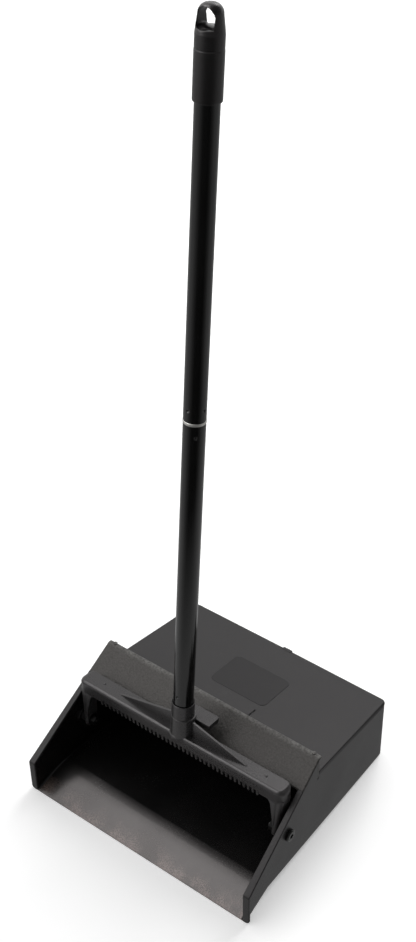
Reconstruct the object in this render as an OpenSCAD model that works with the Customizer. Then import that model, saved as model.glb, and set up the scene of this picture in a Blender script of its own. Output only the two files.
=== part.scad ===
// Lobby dustpan: a covered floor pan, a yoke that swings between its cheeks and an upright handle.
// Millimetres. X runs along the lip, Y from the lip to the rear, Z up; the origin lies under the middle.
// Depths named ..._y are counted from the lip; heights named ..._t run along the handle from the pivot.

/* [Pan] */
// Width over the rim at the lip
rim_w = 305; // [280:1:330]
// Outside width of the rear wall
rear_w = 272; // [250:1:285]
// Depth from the lip to the rear edge of the lid
pan_depth = 282; // [260:1:310]
// Height of the lid at its rear edge
rear_h = 84.4; // [76:0.2:92]
// Fall of the lid towards the rear, degrees
lid_fall = 7; // [5:0.5:9]
// Thickness of cheeks and rear wall
wall = 3; // [2.4:0.1:3.6]
// Thickness of the floor
floor_t = 2.6; // [2:0.1:3.2]
// Radius of the upright rear corners
corner_r = 6; // [5:0.5:10]
// Depth of the crest behind the lip
crest_y = 42; // [36:0.5:50]
// Height of the crest
crest_h = 13.5; // [11:0.5:16]
// Thickness of the lip edge
lip_t = 1; // [0.8:0.1:1.4]
// Flat of the lip that rests on the ground
lip_land = 6; // [4:0.5:8]
// Flat of the heel that rests on the ground
heel_land = 9; // [6:0.5:14]

/* [Mouth] */
// Height of the upright front edge of a cheek
cheek_h = 42.3; // [38:0.1:48]
// Slope of the mouth, degrees
mouth_slope = 32.75; // [30:0.25:35]
// Outward reach of the rim at the lip
rim_flange = 5; // [3.5:0.1:7]
// Outward reach of the rim at the top of the front panel
rim_flange_top = 2.9; // [2:0.1:4]
// Thickness of the rim
rim_t = 3; // [2.4:0.1:4]
// Run of the front panel, measured level
panel_run = 32.5; // [28:0.5:38]
// Thickness of the front panel
panel_t = 3; // [2.4:0.1:3.6]
// Level land along the top of the front panel
top_land = 4; // [3.8:0.1:6]
// Depth of the panel foot below the lid
foot_h = 6; // [4:0.5:8]
// Level run of the stop lip under the yoke bar
stop_lip = 6.3; // [4:0.1:8]
// Width of each panel lug
lug_d = 5; // [4:0.5:6]
// Height of each panel lug
lug_h = 1; // [0.6:0.1:1.4]
// Distance of each panel lug from the end of the panel
lug_inset = 9; // [7:0.5:14]

/* [Lid] */
// Thickness of the lid
lid_t = 3.2; // [2.6:0.1:4]
// Overhang of the lid past the walls
lid_overhang = 0.8; // [0.5:0.1:1.5]
// Depth of the locating skirt
skirt_h = 5; // [3:0.5:8]
// Thickness of the locating skirt
skirt_t = 1.6; // [1.2:0.1:2.4]
// Distance of the slit in the front edge from the middle
slit_x = 34; // [25:0.5:40]
// Length of the slit as a share of the lid
slit_share = 0.235; // [0.18:0.005:0.25]
// Width of the slit
slit_w = 1.2; // [0.8:0.1:2]
// Width of the label plate
label_w = 76; // [50:1:90]
// Length of the label plate as a share of the lid
label_share = 0.38; // [0.25:0.005:0.4]
// Distance of the label plate from the rear edge as a share of the lid
inset_share = 0.33; // [0.3:0.005:0.35]
// Corner radius of the label plate
label_r = 7; // [4:0.5:10]
// Thickness of the label plate
label_t = 1; // [0.8:0.1:1.4]
// Depth of the label recess
recess_h = 0.7; // [0.4:0.1:1]
// Width of the catch bump
catch_w = 15; // [10:0.5:24]
// Height of the catch bump
catch_h = 1.6; // [1:0.1:2.4]
// Length of the catch bump
catch_l = 4; // [3:0.5:7]

/* [Pivot] */
// Depth of the pivot behind the lip
pivot_y = 80.4; // [76:0.2:86]
// Height of the pivot
pivot_z = 57.8; // [54:0.2:62]
// Diameter of the screw shank
shank_d = 6; // [5:0.1:7]
// Diameter of the screw head
head_d = 14; // [12:0.5:16]
// Height of the screw head
head_h = 4.5; // [3.5:0.1:5.5]
// Radius of the outer edge of the screw head
head_edge = 1.7; // [1:0.1:1.7]
// Width over the corners of the key hole in the head
key_d = 6; // [4:0.5:7]
// Depth of the key hole
key_h = 2.4; // [1.6:0.1:3]
// Diameter of the inner boss of a cheek
boss_d = 20; // [17:0.5:24]
// Height of the inner boss of a cheek
boss_h = 2; // [1.5:0.1:3]
// Diameter of the spacer
spacer_d = 12; // [10:0.5:15]
// Diameter of the washer
washer_d = 13; // [11:0.5:15]
// Thickness of the washer
washer_t = 1.2; // [0.8:0.1:1.6]
// Width of the nut over its corners
nut_d = 11.5; // [10:0.1:13]
// Thickness of the nut
nut_t = 5; // [4:0.1:6]
// Screw end past the nut
screw_end = 1.2; // [0.6:0.1:2]

/* [Yoke] */
// Backward lean of the handle at rest, degrees
lean = 5; // [3:0.5:7]
// Gap between a cheek and the yoke arm
arm_gap = 8.2; // [6:0.1:10]
// Thickness of an arm
arm_t = 5; // [4:0.1:6]
// Gap between a cheek and an end of the bar
bar_gap = 2; // [1.5:0.1:2.5]
// Reach of the lower edge of the bar in front of the handle axis
bar_front = 8.5; // [7.5:0.1:10]
// Reach of the top of the bar in front of the handle axis
bar_lip = 12; // [10.5:0.1:14]
// Reach of the bar behind the handle axis
bar_rear = 10; // [8.5:0.1:12]
// Height of the bar
bar_h = 18.8; // [15:0.1:23]
// Thickness of the bar walls
bar_wall = 3; // [2.4:0.1:3.6]
// Radius of the bar ends
bar_r = 5; // [4:0.1:6]
// Width of the stiffening rib at the top of an arm
rib_w = 6; // [4:0.1:8]
// Height above the pivot at which the rib starts
rib_low_t = 14; // [12:0.5:20]
// Length of a comb tooth
tooth_l = 5.5; // [4:0.1:7]
// Width of a comb tooth
tooth_w = 3.6; // [3:0.1:4]
// Pitch of the comb
tooth_pitch = 5.75; // [5:0.05:6.3]
// Teeth on each side of the middle
tooth_count = 19; // [10:1:19]
// Diameter of the handle socket
socket_d = 30; // [28:0.1:32]
// Height of the socket above the bar
socket_h = 24.2; // [20:0.1:30]
// Diameter of the collar
collar_d = 25; // [24.4:0.1:27]
// Height of the collar above the socket
collar_h = 16; // [10:0.5:22]
// Reach of the gussets to each side
gusset_x = 86; // [50:1:100]
// Height of the gussets above the bar
gusset_h = 18; // [12:0.5:20]
// Thickness of gussets
gusset_t = 3; // [2.4:0.1:5]
// Reach of the tab behind the socket to the right
tab_right = 31; // [20:1:36]
// Reach of the tab to the left
tab_left = 12; // [8:1:14]
// Distance of the front of the tab behind the handle axis
tab_front = 5; // [3:0.5:7]
// Reach of the tab behind the handle axis
tab_reach = 22; // [18:0.5:28]
// Thickness of the tab
tab_t = 4; // [3:0.1:5]
// Height of the tab above the bar
tab_h = 14; // [9:0.5:15]

/* [Handle] */
// Diameter of the tubes
tube_d = 22; // [20:0.1:23]
// Wall of the tubes
tube_wall = 1; // [0.8:0.1:1.4]
// Length of the lower tube
lower_l = 372; // [320:1:420]
// Length of the upper tube
upper_l = 332; // [280:1:380]
// Depth of the tube in the socket and collar
seat_depth = 29; // [24:0.5:32]
// Diameter of the joint ring
ring_d = 22.6; // [22.4:0.1:24]
// Height of the joint ring
ring_h = 3; // [2:0.1:5]
// Diameter of the joint stud
stud_d = 12; // [10:0.1:14]
// Length of the plugs inside the tubes
plug_l = 40; // [30:1:50]
// Length of the base plug inside the lower tube
base_l = 55; // [46:1:65]
// Length of the base stud in the socket
base_stud_l = 26; // [20:0.5:27]
// Distance of the joint crimps from the ring
crimp_gap = 12.5; // [9:0.5:18]
// Height of the base crimp above the tube end
crimp_base = 41; // [36:0.5:43]
// Radius of the crimp tool
crimp_r = 4; // [3:0.1:6]
// Depth of a crimp
crimp_h = 0.6; // [0.3:0.05:0.7]

/* [Cap] */
// Diameter of the cap grip
cap_d = 25.5; // [25:0.1:27]
// Length of the cap grip
cap_grip = 42; // [36:0.5:50]
// Length of the cap head above the grip
cap_head = 36; // [33:0.5:42]
// Step between grip and head
cap_step = 0.2; // [0.1:0.05:0.4]
// Height of the groove between grip and head
groove_t = 1.2; // [0.8:0.1:2]
// Straight part of the head
head_flat = 11; // [6:0.5:13]
// Radius of the head where it turns over the top
head_r = 10.7; // [10.2:0.1:11]
// Radius of the turn over the top
turn_r = 8.6; // [7:0.1:9]
// Radius of the lower edge of the cap
edge_r = 1; // [0.6:0.1:1.2]
// Depth of the tube in the cap
cap_seat = 35; // [28:0.5:36]
// Width of the hanging slot
slot_w = 17.5; // [14:0.1:17.5]
// Height of the hanging slot
slot_l = 17; // [14:0.5:20]
// Wall left over the hanging slot
slot_cover = 2.4; // [2:0.1:5]
// Rise of the saddle in the slot
saddle_h = 2; // [1:0.1:3]
// Radius of the saddle
saddle_r = 14; // [12:0.5:20]

/* [Clearances] */
// Gap between moving faces
run_gap = 0.3; // [0.2:0.05:0.5]
// Radial gap of the yoke bores on the screws
bore_gap = 0.05; // [0.03:0.01:0.1]
// Gap of fitted pieces
fit_gap = 0.1; // [0.05:0.05:0.2]
// Gap round pieces dropped into place
drop_gap = 0.2; // [0.1:0.05:0.3]

/* [Hidden] */
$fn = 72;
hex_sides = 6;
arc_steps = 12;
// Overrun of every cut past the face it opens
over = 2;
half_depth = pan_depth / 2;
// Plan of the walls: half width at the lip and loss of half width per depth
front_half = rim_w / 2 - rim_flange;
wall_rear_y = pan_depth - lid_overhang;
taper = (front_half - rear_w / 2) / wall_rear_y;
taper_scale = sqrt(1 + taper * taper);
function wall_half(y) = front_half - taper * y;
wall_in_half = wall_half(pivot_y) - wall * taper_scale;
// Side view of the mouth and the stop that the yoke bar leans on
mouth_rise = tan(mouth_slope);
panel_dz = panel_t / cos(mouth_slope);
rim_dz = rim_t / cos(mouth_slope);
stop_v = bar_rear + run_gap;
function mouth_z(y) = cheek_h + mouth_rise * y;
function stop_t(drop) = (mouth_z(pivot_y + stop_v * cos(lean)) - drop - pivot_z + stop_v * sin(lean))
    / (cos(lean) - mouth_rise * sin(lean));
function stop_point(drop) = [pivot_y + stop_v * cos(lean) + stop_t(drop) * sin(lean),
    pivot_z - stop_v * sin(lean) + stop_t(drop) * cos(lean)];
panel_low_y = stop_point(0)[0] + stop_lip;
panel_top_y = panel_low_y + panel_run;
panel_top_z = mouth_z(panel_top_y);
hood_y = panel_top_y + top_land;
hood_in_y = hood_y - panel_t;
// Plan of the rim
rim_taper = (rim_w / 2 - wall_half(panel_top_y) - rim_flange_top) / panel_top_y;
// Lid
lid_rise = tan(lid_fall);
lid_dz = lid_t / cos(lid_fall);
function lid_z(y) = rear_h + lid_rise * (pan_depth - y);
function seat_z(y) = lid_z(y) - lid_dz;
foot_z = seat_z(hood_y) - foot_h;
lid_front_y = hood_y + drop_gap;
lid_l = pan_depth - lid_front_y;
slit_l = lid_l * slit_share;
label_l = lid_l * label_share;
label_inset = lid_l * inset_share;
sky_z = panel_top_z + over;
// Stack of the pivot, outwards along X
arm_out = wall_in_half - arm_gap;
arm_in = arm_out - arm_t;
boss_face = wall_in_half - boss_h;
boss_root = wall_in_half + wall / 2;
head_seat = wall_half(pivot_y + head_d / 2) - drop_gap;
washer_face = arm_in - run_gap;
nut_face = washer_face - washer_t;
screw_tip = nut_face - nut_t - screw_end;
// Ends of the bar and the slope of its front
bar_out = wall_in_half - bar_gap;
bar_slope = (bar_lip - bar_front) / bar_h;
// Heights along the handle
bar_low_t = stop_t(panel_dz) + run_gap;
bar_top_t = bar_low_t + bar_h;
socket_top_t = bar_top_t + socket_h;
collar_top_t = socket_top_t + collar_h;
tube_seat_t = collar_top_t - seat_depth;
ring_low_t = tube_seat_t + lower_l;
ring_top_t = ring_low_t + ring_h;
tube_end_t = ring_top_t + upper_l;
cap_low_t = tube_end_t - cap_seat;
grip_top_t = cap_low_t + cap_grip;
head_low_t = grip_top_t + groove_t;
cap_top_t = grip_top_t + cap_head;
turn_t = cap_top_t - turn_r;
slot_low_t = cap_top_t - slot_cover - slot_l;
slot_turn_t = slot_low_t + slot_l - slot_w / 2;
plug_d = tube_d - 2 * tube_wall - 2 * bore_gap;
comb_start = tooth_pitch / 2;

// Solid as wide as the pan whose outline is drawn in the side view
module side_slab(points, half_w) {
    translate([-half_w, -half_depth, 0])
        rotate([90, 0, 90])
            linear_extrude(height = 2 * half_w)
                polygon(points);
}

// Points on an arc from the side of the plan to its rear edge
function corner_arc(x, y, r) = [
    for (i = [0 : arc_steps])
        let (a = atan(taper) + (90 - atan(taper)) * i / arc_steps)
            [x + r * cos(a), y + r * sin(a)]
];

// The same points on the left, in the order that goes on round the outline
function mirrored(points) = [for (i = [len(points) - 1 : -1 : 0]) [-points[i][0], points[i][1]]];

// Upright solid on the plan of the walls, moved inwards by inset, with round rear corners
module plan_slab(inset, front_y, rear_y, corner, low, high) {
    half_lip = front_half - inset * taper_scale;
    corner_x = half_lip - taper * (rear_y - corner) - corner * taper_scale;
    right = concat([[half_lip - taper * front_y, front_y]], corner_arc(corner_x, rear_y - corner, corner));
    translate([0, -half_depth, low])
        linear_extrude(height = high - low)
            polygon(concat(right, mirrored(right)));
}

// Upright solid on the plan of the rim
module rim_slab(rear_y) {
    rear_half = rim_w / 2 - rim_taper * rear_y;
    translate([0, -half_depth, -over])
        linear_extrude(height = sky_z + 2 * over)
            polygon([[-rim_w / 2, 0], [rim_w / 2, 0], [rear_half, rear_y], [-rear_half, rear_y]]);
}

// Round bar along X from low to high
module x_rod(d, low, high) {
    translate([low, 0, 0])
        rotate([0, 90, 0])
            cylinder(d = d, h = high - low);
}

// Puts pieces on the right pivot
module at_pivot() {
    translate([0, pivot_y - half_depth, pivot_z])
        children();
}

// Puts pieces drawn along Z on the leaning handle, with the pivot as their origin
module on_handle() {
    at_pivot()
        rotate([-lean, 0, 0])
            children();
}

// Puts pieces drawn level on the lid, with its rear edge as their origin
module on_lid() {
    translate([0, pan_depth - half_depth, rear_h])
        rotate([-lid_fall, 0, 0])
            children();
}

// Flat outline with round corners, centred on X and starting at low
module round_plate(w, low, high, r) {
    translate([-w / 2 + r, low])
        square([w - 2 * r, high - low]);
    translate([-w / 2, low + r])
        square([w, high - low - 2 * r]);
    for (x = [-w / 2 + r, w / 2 - r])
        for (y = [low + r, high - r])
            translate([x, y])
                circle(r = r);
}

// Outer form of the pan without its rim
module pan_outside() {
    intersection() {
        plan_slab(0, 0, wall_rear_y, corner_r, -over, sky_z);
        side_slab([
            [0, 0],
            [0, cheek_h],
            [panel_low_y, mouth_z(panel_low_y)],
            [panel_low_y, mouth_z(panel_low_y) - panel_dz],
            [hood_in_y - drop_gap, mouth_z(hood_in_y - drop_gap) - panel_dz],
            [hood_in_y - drop_gap, foot_z - drop_gap],
            [hood_y + drop_gap, foot_z - drop_gap],
            [hood_y + drop_gap, seat_z(hood_y + drop_gap)],
            [wall_rear_y, seat_z(wall_rear_y)],
            [wall_rear_y, 0],
            [wall_rear_y - heel_land, 0],
            [crest_y, crest_h - floor_t],
            [lip_land, 0]
        ], rim_w);
    }
}

// Strip of the rim along the upright edge and the slope of the mouth
module rim_strip() {
    intersection() {
        rim_slab(panel_low_y);
        side_slab([
            [0, 0],
            [0, cheek_h],
            [panel_low_y, mouth_z(panel_low_y)],
            [panel_low_y, mouth_z(panel_low_y) - rim_dz],
            [rim_t, mouth_z(rim_t) - rim_dz],
            [rim_t, 0]
        ], rim_w);
    }
}

// Hollow of the bin, open at the mouth and the top
module pan_hollow() {
    intersection() {
        plan_slab(wall, -over, wall_rear_y - wall, corner_r - wall / 2, -over, sky_z + over);
        side_slab([
            [-over, lip_t],
            [0, lip_t],
            [crest_y, crest_h],
            [wall_rear_y - wall, floor_t],
            [wall_rear_y - wall, sky_z],
            [-over, sky_z]
        ], rim_w);
    }
}

module pan_shell() {
    color("dimgray")
        difference() {
            union() {
                difference() {
                    union() {
                        pan_outside();
                        rim_strip();
                    }
                    pan_hollow();
                }
                for (s = [0, 1])
                    mirror([s, 0, 0])
                        at_pivot()
                            x_rod(boss_d, boss_face, boss_root);
            }
            for (s = [0, 1])
                mirror([s, 0, 0])
                    at_pivot() {
                        x_rod(shank_d + 2 * fit_gap, boss_face - over, rim_w / 2);
                        x_rod(head_d + 2 * drop_gap, head_seat, rim_w / 2);
                    }
        }
}

module front_panel() {
    lug_x = rim_w / 2 - rim_taper * panel_top_y - lug_inset;
    color("dimgray") {
        intersection() {
            rim_slab(hood_y);
            side_slab([
                [panel_low_y, mouth_z(panel_low_y)],
                [panel_top_y, panel_top_z],
                [hood_y, panel_top_z],
                [hood_y, panel_top_z - panel_dz],
                [hood_in_y, mouth_z(hood_in_y) - panel_dz],
                [panel_low_y, mouth_z(panel_low_y) - panel_dz]
            ], rim_w);
        }
        intersection() {
            plan_slab(0, 0, wall_rear_y, corner_r, -over, sky_z);
            side_slab([
                [hood_in_y, foot_z],
                [hood_in_y, mouth_z(hood_in_y) - panel_dz],
                [hood_in_y, panel_top_z - panel_dz / 2],
                [hood_y, panel_top_z - panel_dz / 2],
                [hood_y, foot_z]
            ], rim_w);
        }
        side_slab([
            stop_point(0),
            [panel_low_y + over, mouth_z(panel_low_y + over)],
            [panel_low_y + over, mouth_z(panel_low_y + over) - panel_dz],
            stop_point(panel_dz)
        ], arm_in - rib_w);
        for (s = [-1, 1])
            translate([s * lug_x, panel_top_y + top_land / 2 - half_depth, panel_top_z - panel_dz / 2])
                cylinder(d = lug_d - 2 * drop_gap, h = lug_h + panel_dz / 2);
    }
}

// Band under the lid plane, from drop to deep below it
module lid_band(drop, deep) {
    side_slab([
        [lid_front_y, lid_z(lid_front_y) - drop],
        [pan_depth, lid_z(pan_depth) - drop],
        [pan_depth, lid_z(pan_depth) - deep],
        [lid_front_y, lid_z(lid_front_y) - deep]
    ], rim_w);
}

module lid() {
    color("dimgray")
        difference() {
            union() {
                intersection() {
                    plan_slab(-lid_overhang, lid_front_y, pan_depth, corner_r + lid_overhang, 0, sky_z);
                    lid_band(0, lid_dz);
                }
                intersection() {
                    difference() {
                        plan_slab(wall + drop_gap, lid_front_y, wall_rear_y - wall - drop_gap,
                            corner_r - wall / 2, 0, sky_z);
                        plan_slab(wall + drop_gap + skirt_t, -over, wall_rear_y - wall - drop_gap - skirt_t,
                            corner_r - wall / 2, -over, sky_z + over);
                    }
                    lid_band(lid_dz / 2, lid_dz + skirt_h);
                }
                on_lid()
                    translate([-catch_w / 2, -catch_l - drop_gap, -lid_t / 2])
                        cube([catch_w, catch_l, lid_t / 2 + catch_h]);
            }
            on_lid() {
                translate([slit_x - slit_w / 2, -lid_l - over, -lid_t - over])
                    cube([slit_w, slit_l + over, lid_t + 2 * over]);
                translate([0, 0, -recess_h])
                    linear_extrude(height = recess_h + over)
                        round_plate(label_w + 2 * drop_gap, -label_inset - label_l - drop_gap,
                            -label_inset + drop_gap, label_r + drop_gap);
            }
        }
}

module label_plate() {
    color("black")
        on_lid()
            translate([0, 0, -recess_h])
                linear_extrude(height = label_t)
                    round_plate(label_w, -label_inset - label_l, -label_inset, label_r);
}

// Half outline of a screw head with a round outer edge
module head_outline() {
    square([head_d / 2 - head_edge, head_h]);
    square([head_d / 2, head_h - head_edge]);
    translate([head_d / 2 - head_edge, head_h - head_edge])
        circle(r = head_edge);
}

// Screw of the right pivot: shank, head and key hole
module pivot_screw() {
    color("black")
        at_pivot()
            difference() {
                union() {
                    x_rod(shank_d, screw_tip, head_seat + over);
                    translate([head_seat, 0, 0])
                        rotate([0, 90, 0])
                            rotate_extrude()
                                head_outline();
                }
                translate([head_seat + head_h - key_h, 0, 0])
                    rotate([0, 90, 0])
                        cylinder(d = key_d, h = key_h + over, $fn = hex_sides);
            }
}

// Ring on the right pivot
module pivot_ring(d, bore_d, low, high) {
    at_pivot()
        difference() {
            x_rod(d, low, high);
            x_rod(bore_d, low - over, high + over);
        }
}

module pivot_spacer() {
    color("black")
        pivot_ring(spacer_d, shank_d + 2 * fit_gap, arm_out + run_gap, boss_face);
}

module pivot_washer() {
    color("silver")
        pivot_ring(washer_d, shank_d + 2 * drop_gap, nut_face, washer_face);
}

module pivot_nut() {
    color("silver")
        at_pivot()
            difference() {
                translate([nut_face - nut_t, 0, 0])
                    rotate([0, 90, 0])
                        cylinder(d = nut_d, h = nut_t, $fn = hex_sides);
                x_rod(shank_d + 2 * bore_gap, nut_face - nut_t - over, nut_face + over);
            }
}

module pivot_screw_left() {
    mirror([1, 0, 0])
        pivot_screw();
}

module pivot_screw_right() {
    pivot_screw();
}

module pivot_spacer_left() {
    mirror([1, 0, 0])
        pivot_spacer();
}

module pivot_spacer_right() {
    pivot_spacer();
}

module pivot_washer_left() {
    mirror([1, 0, 0])
        pivot_washer();
}

module pivot_washer_right() {
    pivot_washer();
}

module pivot_nut_left() {
    mirror([1, 0, 0])
        pivot_nut();
}

module pivot_nut_right() {
    pivot_nut();
}

// Bar of the yoke, a channel open below with a front that leans out
module yoke_bar() {
    difference() {
        intersection() {
            translate([0, 0, bar_low_t])
                linear_extrude(height = bar_h)
                    round_plate(2 * bar_out, -bar_lip, bar_rear, bar_r);
            translate([-bar_out - over, 0, bar_low_t])
                rotate([90, 0, 90])
                    linear_extrude(height = 2 * (bar_out + over))
                        polygon([
                            [bar_slope * over - bar_front, -over],
                            [bar_rear + over, -over],
                            [bar_rear + over, bar_h + over],
                            [-bar_slope * over - bar_lip, bar_h + over]
                        ]);
        }
        translate([-arm_in, -bar_front + bar_wall, bar_low_t - over])
            cube([2 * arm_in, bar_front + bar_rear - 2 * bar_wall, bar_h - bar_wall + over]);
    }
}

// Right arm with its eye, its flare towards the end of the bar and its stiffening rib
module yoke_arm() {
    x_rod(2 * bar_front, arm_in, arm_out);
    intersection() {
        translate([0, bar_front + over, 0])
            rotate([90, 0, 0])
                linear_extrude(height = 2 * (bar_front + over))
                    polygon([
                        [arm_out - arm_t / 2, rib_low_t],
                        [arm_out, rib_low_t],
                        [bar_out, bar_low_t],
                        [bar_out, bar_low_t + bar_wall],
                        [arm_out - arm_t / 2, bar_low_t + bar_wall]
                    ]);
        linear_extrude(height = bar_top_t)
            round_plate(2 * bar_out, -bar_front, bar_front, bar_r);
    }
    translate([arm_in, -bar_front, 0])
        cube([arm_t, 2 * bar_front, bar_low_t + bar_h / 2]);
    translate([0, -bar_front + bar_wall, 0])
        rotate([90, 0, 0])
            linear_extrude(height = bar_wall)
                polygon([
                    [arm_in - rib_w, bar_low_t + bar_wall],
                    [arm_in - rib_w, bar_low_t],
                    [arm_in, rib_low_t],
                    [arm_in + arm_t / 2, rib_low_t],
                    [arm_in + arm_t / 2, bar_low_t + bar_wall]
                ]);
}

// Teeth under the front wall of the bar, right half
module yoke_comb() {
    translate([0, -bar_front + bar_wall, 0])
        rotate([90, 0, 0])
            linear_extrude(height = bar_wall)
                for (i = [0 : tooth_count - 1])
                    translate([comb_start + i * tooth_pitch, bar_low_t - tooth_l + tooth_w / 2]) {
                        circle(d = tooth_w);
                        translate([-tooth_w / 2, 0])
                            square([tooth_w, tooth_l]);
                    }
}

// Handle socket, which narrows into the bar and is cut off level with the rear of the bar
module yoke_socket() {
    intersection() {
        translate([0, 0, bar_low_t])
            cylinder(d1 = 2 * bar_front, d2 = socket_d, h = bar_h);
        translate([-socket_d, -socket_d, 0])
            cube([2 * socket_d, socket_d + bar_rear, bar_top_t]);
    }
    translate([0, 0, bar_top_t - bar_wall])
        cylinder(d = socket_d, h = socket_h + bar_wall);
}

module yoke() {
    color("dimgray")
        on_handle()
            difference() {
                union() {
                    yoke_bar();
                    for (s = [0, 1])
                        mirror([s, 0, 0]) {
                            yoke_arm();
                            yoke_comb();
                        }
                    yoke_socket();
                    translate([0, 0, bar_top_t])
                        cylinder(d = collar_d, h = collar_top_t - bar_top_t);
                    translate([0, gusset_t / 2, bar_top_t - bar_wall / 2])
                        rotate([90, 0, 0])
                            linear_extrude(height = gusset_t)
                                polygon([
                                    [-gusset_x, 0],
                                    [gusset_x, 0],
                                    [gusset_x, bar_wall / 2],
                                    [socket_d / 2, gusset_h + bar_wall / 2],
                                    [-socket_d / 2, gusset_h + bar_wall / 2],
                                    [-gusset_x, bar_wall / 2]
                                ]);
                    translate([(tab_right - tab_left) / 2, 0, bar_top_t + tab_h])
                        linear_extrude(height = tab_t)
                            round_plate(tab_right + tab_left, tab_front, tab_reach, bar_r / 2);
                }
                translate([0, 0, tube_seat_t])
                    cylinder(d = tube_d + 2 * fit_gap, h = seat_depth + over);
                translate([0, 0, tube_seat_t - base_stud_l - drop_gap])
                    cylinder(d = stud_d + 2 * fit_gap, h = base_stud_l + drop_gap + over);
                x_rod(shank_d + 2 * bore_gap, -rim_w, rim_w);
            }
}

module base_plug() {
    color("gray")
        on_handle()
            translate([0, 0, tube_seat_t]) {
                cylinder(d = plug_d, h = base_l);
                translate([0, 0, -base_stud_l])
                    cylinder(d = stud_d, h = base_stud_l + over);
            }
}

// Handle tube with crimps on its front at the given heights
module handle_tube(low, high, crimps) {
    on_handle()
        difference() {
            translate([0, 0, low])
                cylinder(d = tube_d, h = high - low);
            translate([0, 0, low - over])
                cylinder(d = tube_d - 2 * tube_wall, h = high - low + 2 * over);
            for (t = crimps)
                translate([0, -tube_d / 2 - crimp_r + crimp_h, t])
                    sphere(r = crimp_r);
        }
}

module lower_tube() {
    color("black")
        handle_tube(tube_seat_t, ring_low_t, [tube_seat_t + crimp_base, ring_low_t - crimp_gap]);
}

module joint_socket() {
    color("gray")
        on_handle()
            translate([0, 0, ring_low_t - plug_l])
                difference() {
                    cylinder(d = plug_d, h = plug_l);
                    translate([0, 0, -over])
                        cylinder(d = stud_d + 2 * fit_gap, h = plug_l + 2 * over);
                }
}

module joint_stud() {
    color("gray")
        on_handle()
            translate([0, 0, ring_top_t]) {
                cylinder(d = plug_d, h = plug_l);
                translate([0, 0, -plug_l])
                    cylinder(d = stud_d, h = plug_l + over);
            }
}

module joint_ring() {
    color("silver")
        on_handle()
            translate([0, 0, ring_low_t])
                difference() {
                    cylinder(d = ring_d, h = ring_h);
                    translate([0, 0, -over])
                        cylinder(d = stud_d + 2 * fit_gap, h = ring_h + 2 * over);
                }
}

module upper_tube() {
    color("black")
        handle_tube(ring_top_t, tube_end_t, [ring_top_t + crimp_gap]);
}

// Half outline of the cap: grip with round lower edge, groove, tapering head, turn over the top
module cap_outline() {
    grip_r = cap_d / 2;
    translate([0, cap_low_t + edge_r])
        square([grip_r, cap_grip - edge_r]);
    translate([0, cap_low_t])
        square([grip_r - edge_r, cap_grip]);
    translate([grip_r - edge_r, cap_low_t + edge_r])
        circle(r = edge_r);
    polygon([
        [0, grip_top_t - over],
        [grip_r - 2 * cap_step, grip_top_t - over],
        [grip_r - 2 * cap_step, head_low_t],
        [grip_r - cap_step, head_low_t],
        [grip_r - cap_step, head_low_t + head_flat],
        [head_r, turn_t],
        [0, turn_t]
    ]);
    intersection() {
        translate([head_r - turn_r, turn_t])
            circle(r = turn_r);
        translate([0, turn_t - over])
            square([head_r, turn_r + 2 * over]);
    }
    translate([0, turn_t - over])
        square([head_r - turn_r, turn_r + over]);
}

module hanger_cap() {
    color("black")
        on_handle()
            difference() {
                rotate_extrude()
                    cap_outline();
                translate([0, 0, cap_low_t - over])
                    cylinder(d = tube_d + 2 * fit_gap, h = cap_seat + over);
                difference() {
                    translate([0, cap_d, 0])
                        rotate([90, 0, 0])
                            linear_extrude(height = 2 * cap_d) {
                                translate([-slot_w / 2, slot_low_t])
                                    square([slot_w, slot_turn_t - slot_low_t]);
                                translate([0, slot_turn_t])
                                    circle(d = slot_w);
                            }
                    translate([0, 0, slot_low_t + saddle_h - saddle_r])
                        x_rod(2 * saddle_r, -cap_d, cap_d);
                }
            }
}

pan_shell();
front_panel();
lid();
label_plate();
pivot_screw_left();
pivot_screw_right();
pivot_spacer_left();
pivot_spacer_right();
pivot_washer_left();
pivot_washer_right();
pivot_nut_left();
pivot_nut_right();
yoke();
base_plug();
lower_tube();
joint_socket();
joint_stud();
joint_ring();
upper_tube();
hanger_cap();
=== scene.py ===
"""Studio scene of an upright lobby dustpan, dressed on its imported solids.

Metres, in the part's own frame: X along the lip, Y from the lip to the rear, Z up. Depths named y are
counted from the lip and become frame Y through Plan.place. Heights named t run along the handle from the
pivot, v points behind the handle, and HandleFrame.place brings both into the frame.
"""

import logging
import math
from dataclasses import dataclass, field
from enum import Enum
from typing import Callable, Optional, Sequence

import bmesh
import bpy
import numpy as np
from mathutils import Matrix, Vector


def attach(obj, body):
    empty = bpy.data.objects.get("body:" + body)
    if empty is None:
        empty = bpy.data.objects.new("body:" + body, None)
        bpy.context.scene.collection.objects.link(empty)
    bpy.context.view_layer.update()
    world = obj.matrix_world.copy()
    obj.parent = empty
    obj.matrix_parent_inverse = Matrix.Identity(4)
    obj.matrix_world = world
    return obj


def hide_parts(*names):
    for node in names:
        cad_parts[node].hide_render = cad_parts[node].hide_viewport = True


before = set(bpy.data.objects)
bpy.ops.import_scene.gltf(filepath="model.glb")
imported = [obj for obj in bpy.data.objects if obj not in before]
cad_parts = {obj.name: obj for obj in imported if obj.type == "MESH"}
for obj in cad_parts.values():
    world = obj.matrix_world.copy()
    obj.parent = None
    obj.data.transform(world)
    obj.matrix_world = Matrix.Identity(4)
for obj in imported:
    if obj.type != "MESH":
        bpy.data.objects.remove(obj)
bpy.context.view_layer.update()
LOG = logging.getLogger("lobby_dustpan")
RIGHT_ANGLE = math.pi / 2
MERGE = 1e-6  # points closer than this are one
NOISE_SPAN = (0.3, 0.7)  # values between which a noise texture mostly lies
VECTOR_MATH = "ShaderNodeVectorMath"

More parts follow.
